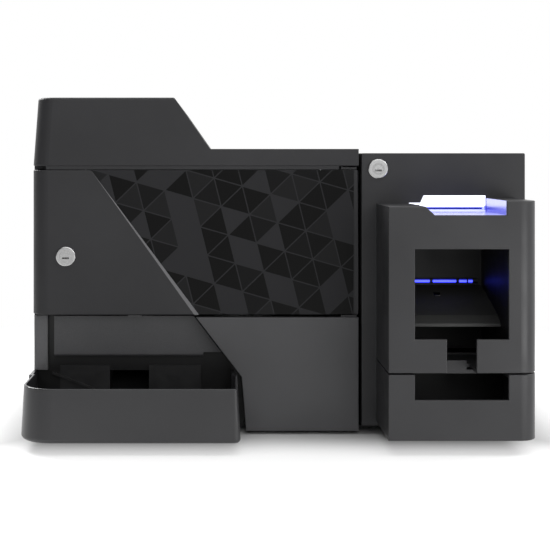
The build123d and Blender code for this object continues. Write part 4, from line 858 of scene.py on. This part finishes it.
# %% Copies of the screw
COLUMN_APART = 3 * HEAD_RADIUS  # farther in than this, a vertex isn't one of an outer column
across = [vertex.co.x * MM for vertex in nodes["rear_screws"].data.vertices]
inner = [x for x in across if screw_low.x + COLUMN_APART < x < screw_high.x - COLUMN_APART]
columns = (screw_low.x + HEAD_RADIUS, (min(inner) + max(inner)) / 2, screw_high.x - HEAD_RADIUS)
rows = (screw_low.z + HEAD_RADIUS, screw_high.z - HEAD_RADIUS)
copies = []
for x in columns:
    for z in rows:
        copy = head.copy()
        copy.data = head.data.copy()
        copy.location = (x / MM, 0, z / MM)
        bpy.context.scene.collection.objects.link(copy)
        copies.append(copy)
bpy.data.objects.remove(head)
pick(*copies)
bpy.ops.object.join()
rear_heads = bpy.context.object
rear_heads.name = "rear_screw_heads"
bpy.ops.object.transform_apply(location=True, rotation=True, scale=True)
bpy.ops.object.shade_smooth_by_angle(angle=SMOOTH)
rear_heads.data.materials.append(zinc_steel)
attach(rear_heads, "frame")
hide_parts("rear_screws")
print("screws at x", [round(x, 1) for x in columns], "z", [round(z, 1) for z in rows])

# %% [markdown]
# The floor is a plain pale sheet of paper, far larger than the picture shows.

# %% Floor
FLOOR_SIZE = 12  # metres

pick()
bpy.ops.mesh.primitive_plane_add(size=1)
floor = bpy.context.object
floor.name = "studio_floor"
floor.scale = (FLOOR_SIZE, FLOOR_SIZE, 1)
bpy.ops.object.transform_apply(location=True, rotation=True, scale=True)
print("floor of", FLOOR_SIZE, "m")

# %% [markdown]
# To the camera and in reflections the paper adds just enough light of its own to be white. In a
# box about the size of the object's footprint it adds none, which paints shade on the floor round
# the object's foot on top of its real soft shadow. Far from the object it fades to plain white,
# which hides its edge.

# %% Floor paper
WHITE = linear("#FFFFFF")
SHADE_BOX_HALF = (("X", 0.235), ("Y", 0.178))  # metres from the middle within which it adds no light
SHADE_BOX_FADE = 0.09  # over which its own light comes in
PAPER_GLOW = 0.57
FAR_FADE = (0.40, 0.75)  # metres from the middle between which it turns plain white

floor_paper = bpy.data.materials.new("studio_paper_white")
floor_paper.use_nodes = True
tree = floor_paper.node_tree
tree.nodes.clear()
paper = add(tree, "BsdfDiffuse", {"Color": linear("#CECECE")})
path = add(tree, "LightPath")
seen = add(tree, "Math", {
    0: path.outputs["Is Camera Ray"], 1: path.outputs["Is Glossy Ray"]}, operation="MAXIMUM")
seen = add(tree, "Math", {
    0: seen.outputs[0], 1: path.outputs["Is Transmission Ray"]}, operation="MAXIMUM")
where = add(tree, "TexCoord").outputs["Object"]
place = add(tree, "SeparateXYZ", {"Vector": where})
# Painted shade: inside this box round the footprint the paper adds no light of its own.
outside = []
for axis, edge in SHADE_BOX_HALF:
    away = add(tree, "Math", {0: place.outputs[axis]}, operation="ABSOLUTE")
    outside.append(add(tree, "MapRange", {
        "Value": away.outputs[0], "From Min": edge, "From Max": edge + SHADE_BOX_FADE},
        interpolation_type="SMOOTHSTEP").outputs[0])
outside_shade_box = add(tree, "Math", {0: outside[0], 1: outside[1]}, operation="MAXIMUM")
share = add(tree, "Math", {0: outside_shade_box.outputs[0], 1: PAPER_GLOW}, operation="MULTIPLY")
lift = add(tree, "Math", {0: seen.outputs[0], 1: share.outputs[0]}, operation="MULTIPLY")
glow = add(tree, "Emission", {"Color": WHITE, "Strength": lift.outputs[0]})
lit_paper = add(tree, "AddShader", {0: paper.outputs[0], 1: glow.outputs[0]})
plain_white = add(tree, "Emission", {"Color": WHITE, "Strength": 1.0})
reach = add(tree, "VectorMath", {0: where}, operation="LENGTH")
far = add(tree, "MapRange", {
    "Value": reach.outputs["Value"], "From Min": FAR_FADE[0], "From Max": FAR_FADE[1]},
    interpolation_type="SMOOTHSTEP")
far_seen = add(tree, "Math", {0: far.outputs[0], 1: seen.outputs[0]}, operation="MULTIPLY")
fade = add(tree, "MixShader", {
    0: far_seen.outputs[0], 1: lit_paper.outputs[0], 2: plain_white.outputs[0]})
add(tree, "OutputMaterial", {"Surface": fade.outputs[0]})
floor.data.materials.append(floor_paper)
print("floor paper white beyond", FAR_FADE[1], "m")

# %% [markdown]
# The studio is a white sweep: the camera sees white all round. What the plastic and metal reflect
# is white from behind and bright from the right, and it darkens to the left as if a black screen
# stood there. Diffuse light from all round is half of that.

# %% Studio surround
LEFT_LEVEL, RIGHT_LEVEL = 0.06, 0.90
SIDE_TURN = (-0.5, 0.9)  # along X: the left level ends, the right one is reached
BACK_TURN = (0.15, 0.55)  # along Y: the white from behind starts, is full
DIFFUSE_SHARE = 0.5

world = bpy.data.worlds.new("studio_white")
bpy.context.scene.world = world
world.use_nodes = True
tree = world.node_tree
tree.nodes.clear()
path = add(tree, "LightPath")
direct = add(tree, "Math", {
    0: path.outputs["Is Camera Ray"], 1: path.outputs["Is Transmission Ray"]}, operation="MAXIMUM")
towards = add(tree, "SeparateXYZ", {"Vector": add(tree, "TexCoord").outputs["Generated"]})
side = add(tree, "MapRange", {
    "Value": towards.outputs["X"], "From Min": SIDE_TURN[0], "From Max": SIDE_TURN[1],
    "To Min": LEFT_LEVEL, "To Max": RIGHT_LEVEL}, interpolation_type="SMOOTHSTEP")
back = add(tree, "MapRange", {
    "Value": towards.outputs["Y"], "From Min": BACK_TURN[0], "From Max": BACK_TURN[1]},
    interpolation_type="SMOOTHSTEP")
round_about = add(tree, "Math", {0: side.outputs[0], 1: back.outputs[0]}, operation="MAXIMUM")
share = add(tree, "MapRange", {
    "Value": path.outputs["Is Glossy Ray"], "To Min": DIFFUSE_SHARE, "To Max": 1.0})
surround = add(tree, "Math", {0: round_about.outputs[0], 1: share.outputs[0]}, operation="MULTIPLY")
level = add(tree, "Math", {0: surround.outputs[0], 1: direct.outputs[0]}, operation="MAXIMUM")
sky = add(tree, "Background", {"Color": WHITE, "Strength": level.outputs[0]})
add(tree, "OutputWorld", {"Surface": sky.outputs[0]})
print("surround from", LEFT_LEVEL, "at the left to", RIGHT_LEVEL, "at the right")

# %% [markdown]
# One large lamp hangs above and a soft one stands at the front. A small one low at the right front
# brightens the note module's right-hand corners, one at the right draws the edges that face it,
# and one behind the left shoulder lines the tray's rim.

# %% Lamps
LAMPS = (  # name, place, what it faces, width and height (metres), power (watts)
    ("lamp_above", (0.0, -0.4, 2.2), (0, -0.1, 0.1), (2.6, 2.2), 26),
    ("lamp_front", (0.2, -2.3, 1.1), (0, 0, 0.15), (2.0, 1.2), 12),
    ("lamp_right_front", (0.52, -0.64, 0.04), (0.2, -0.2, 0.08), (0.28, 0.28), 1.0),
    ("lamp_right", (1.5, -0.1, 1.3), (0, -0.15, 0.2), (0.7, 0.7), 12),
    ("lamp_rim", (-1.1, 0.8, 1.3), (-0.2, -0.2, 0.1), (0.8, 0.8), 26),
)
for name, at, aim, size, power in LAMPS:
    lamp = bpy.data.objects.new(name, bpy.data.lights.new(name, "AREA"))
    bpy.context.scene.collection.objects.link(lamp)
    lamp.data.shape = "RECTANGLE"
    lamp.data.size, lamp.data.size_y = size
    lamp.data.energy = power
    lamp.location = at
    lamp.rotation_euler = (Vector(aim) - Vector(at)).to_track_quat("-Z", "Y").to_euler()
    print(name, "of", power, "W")
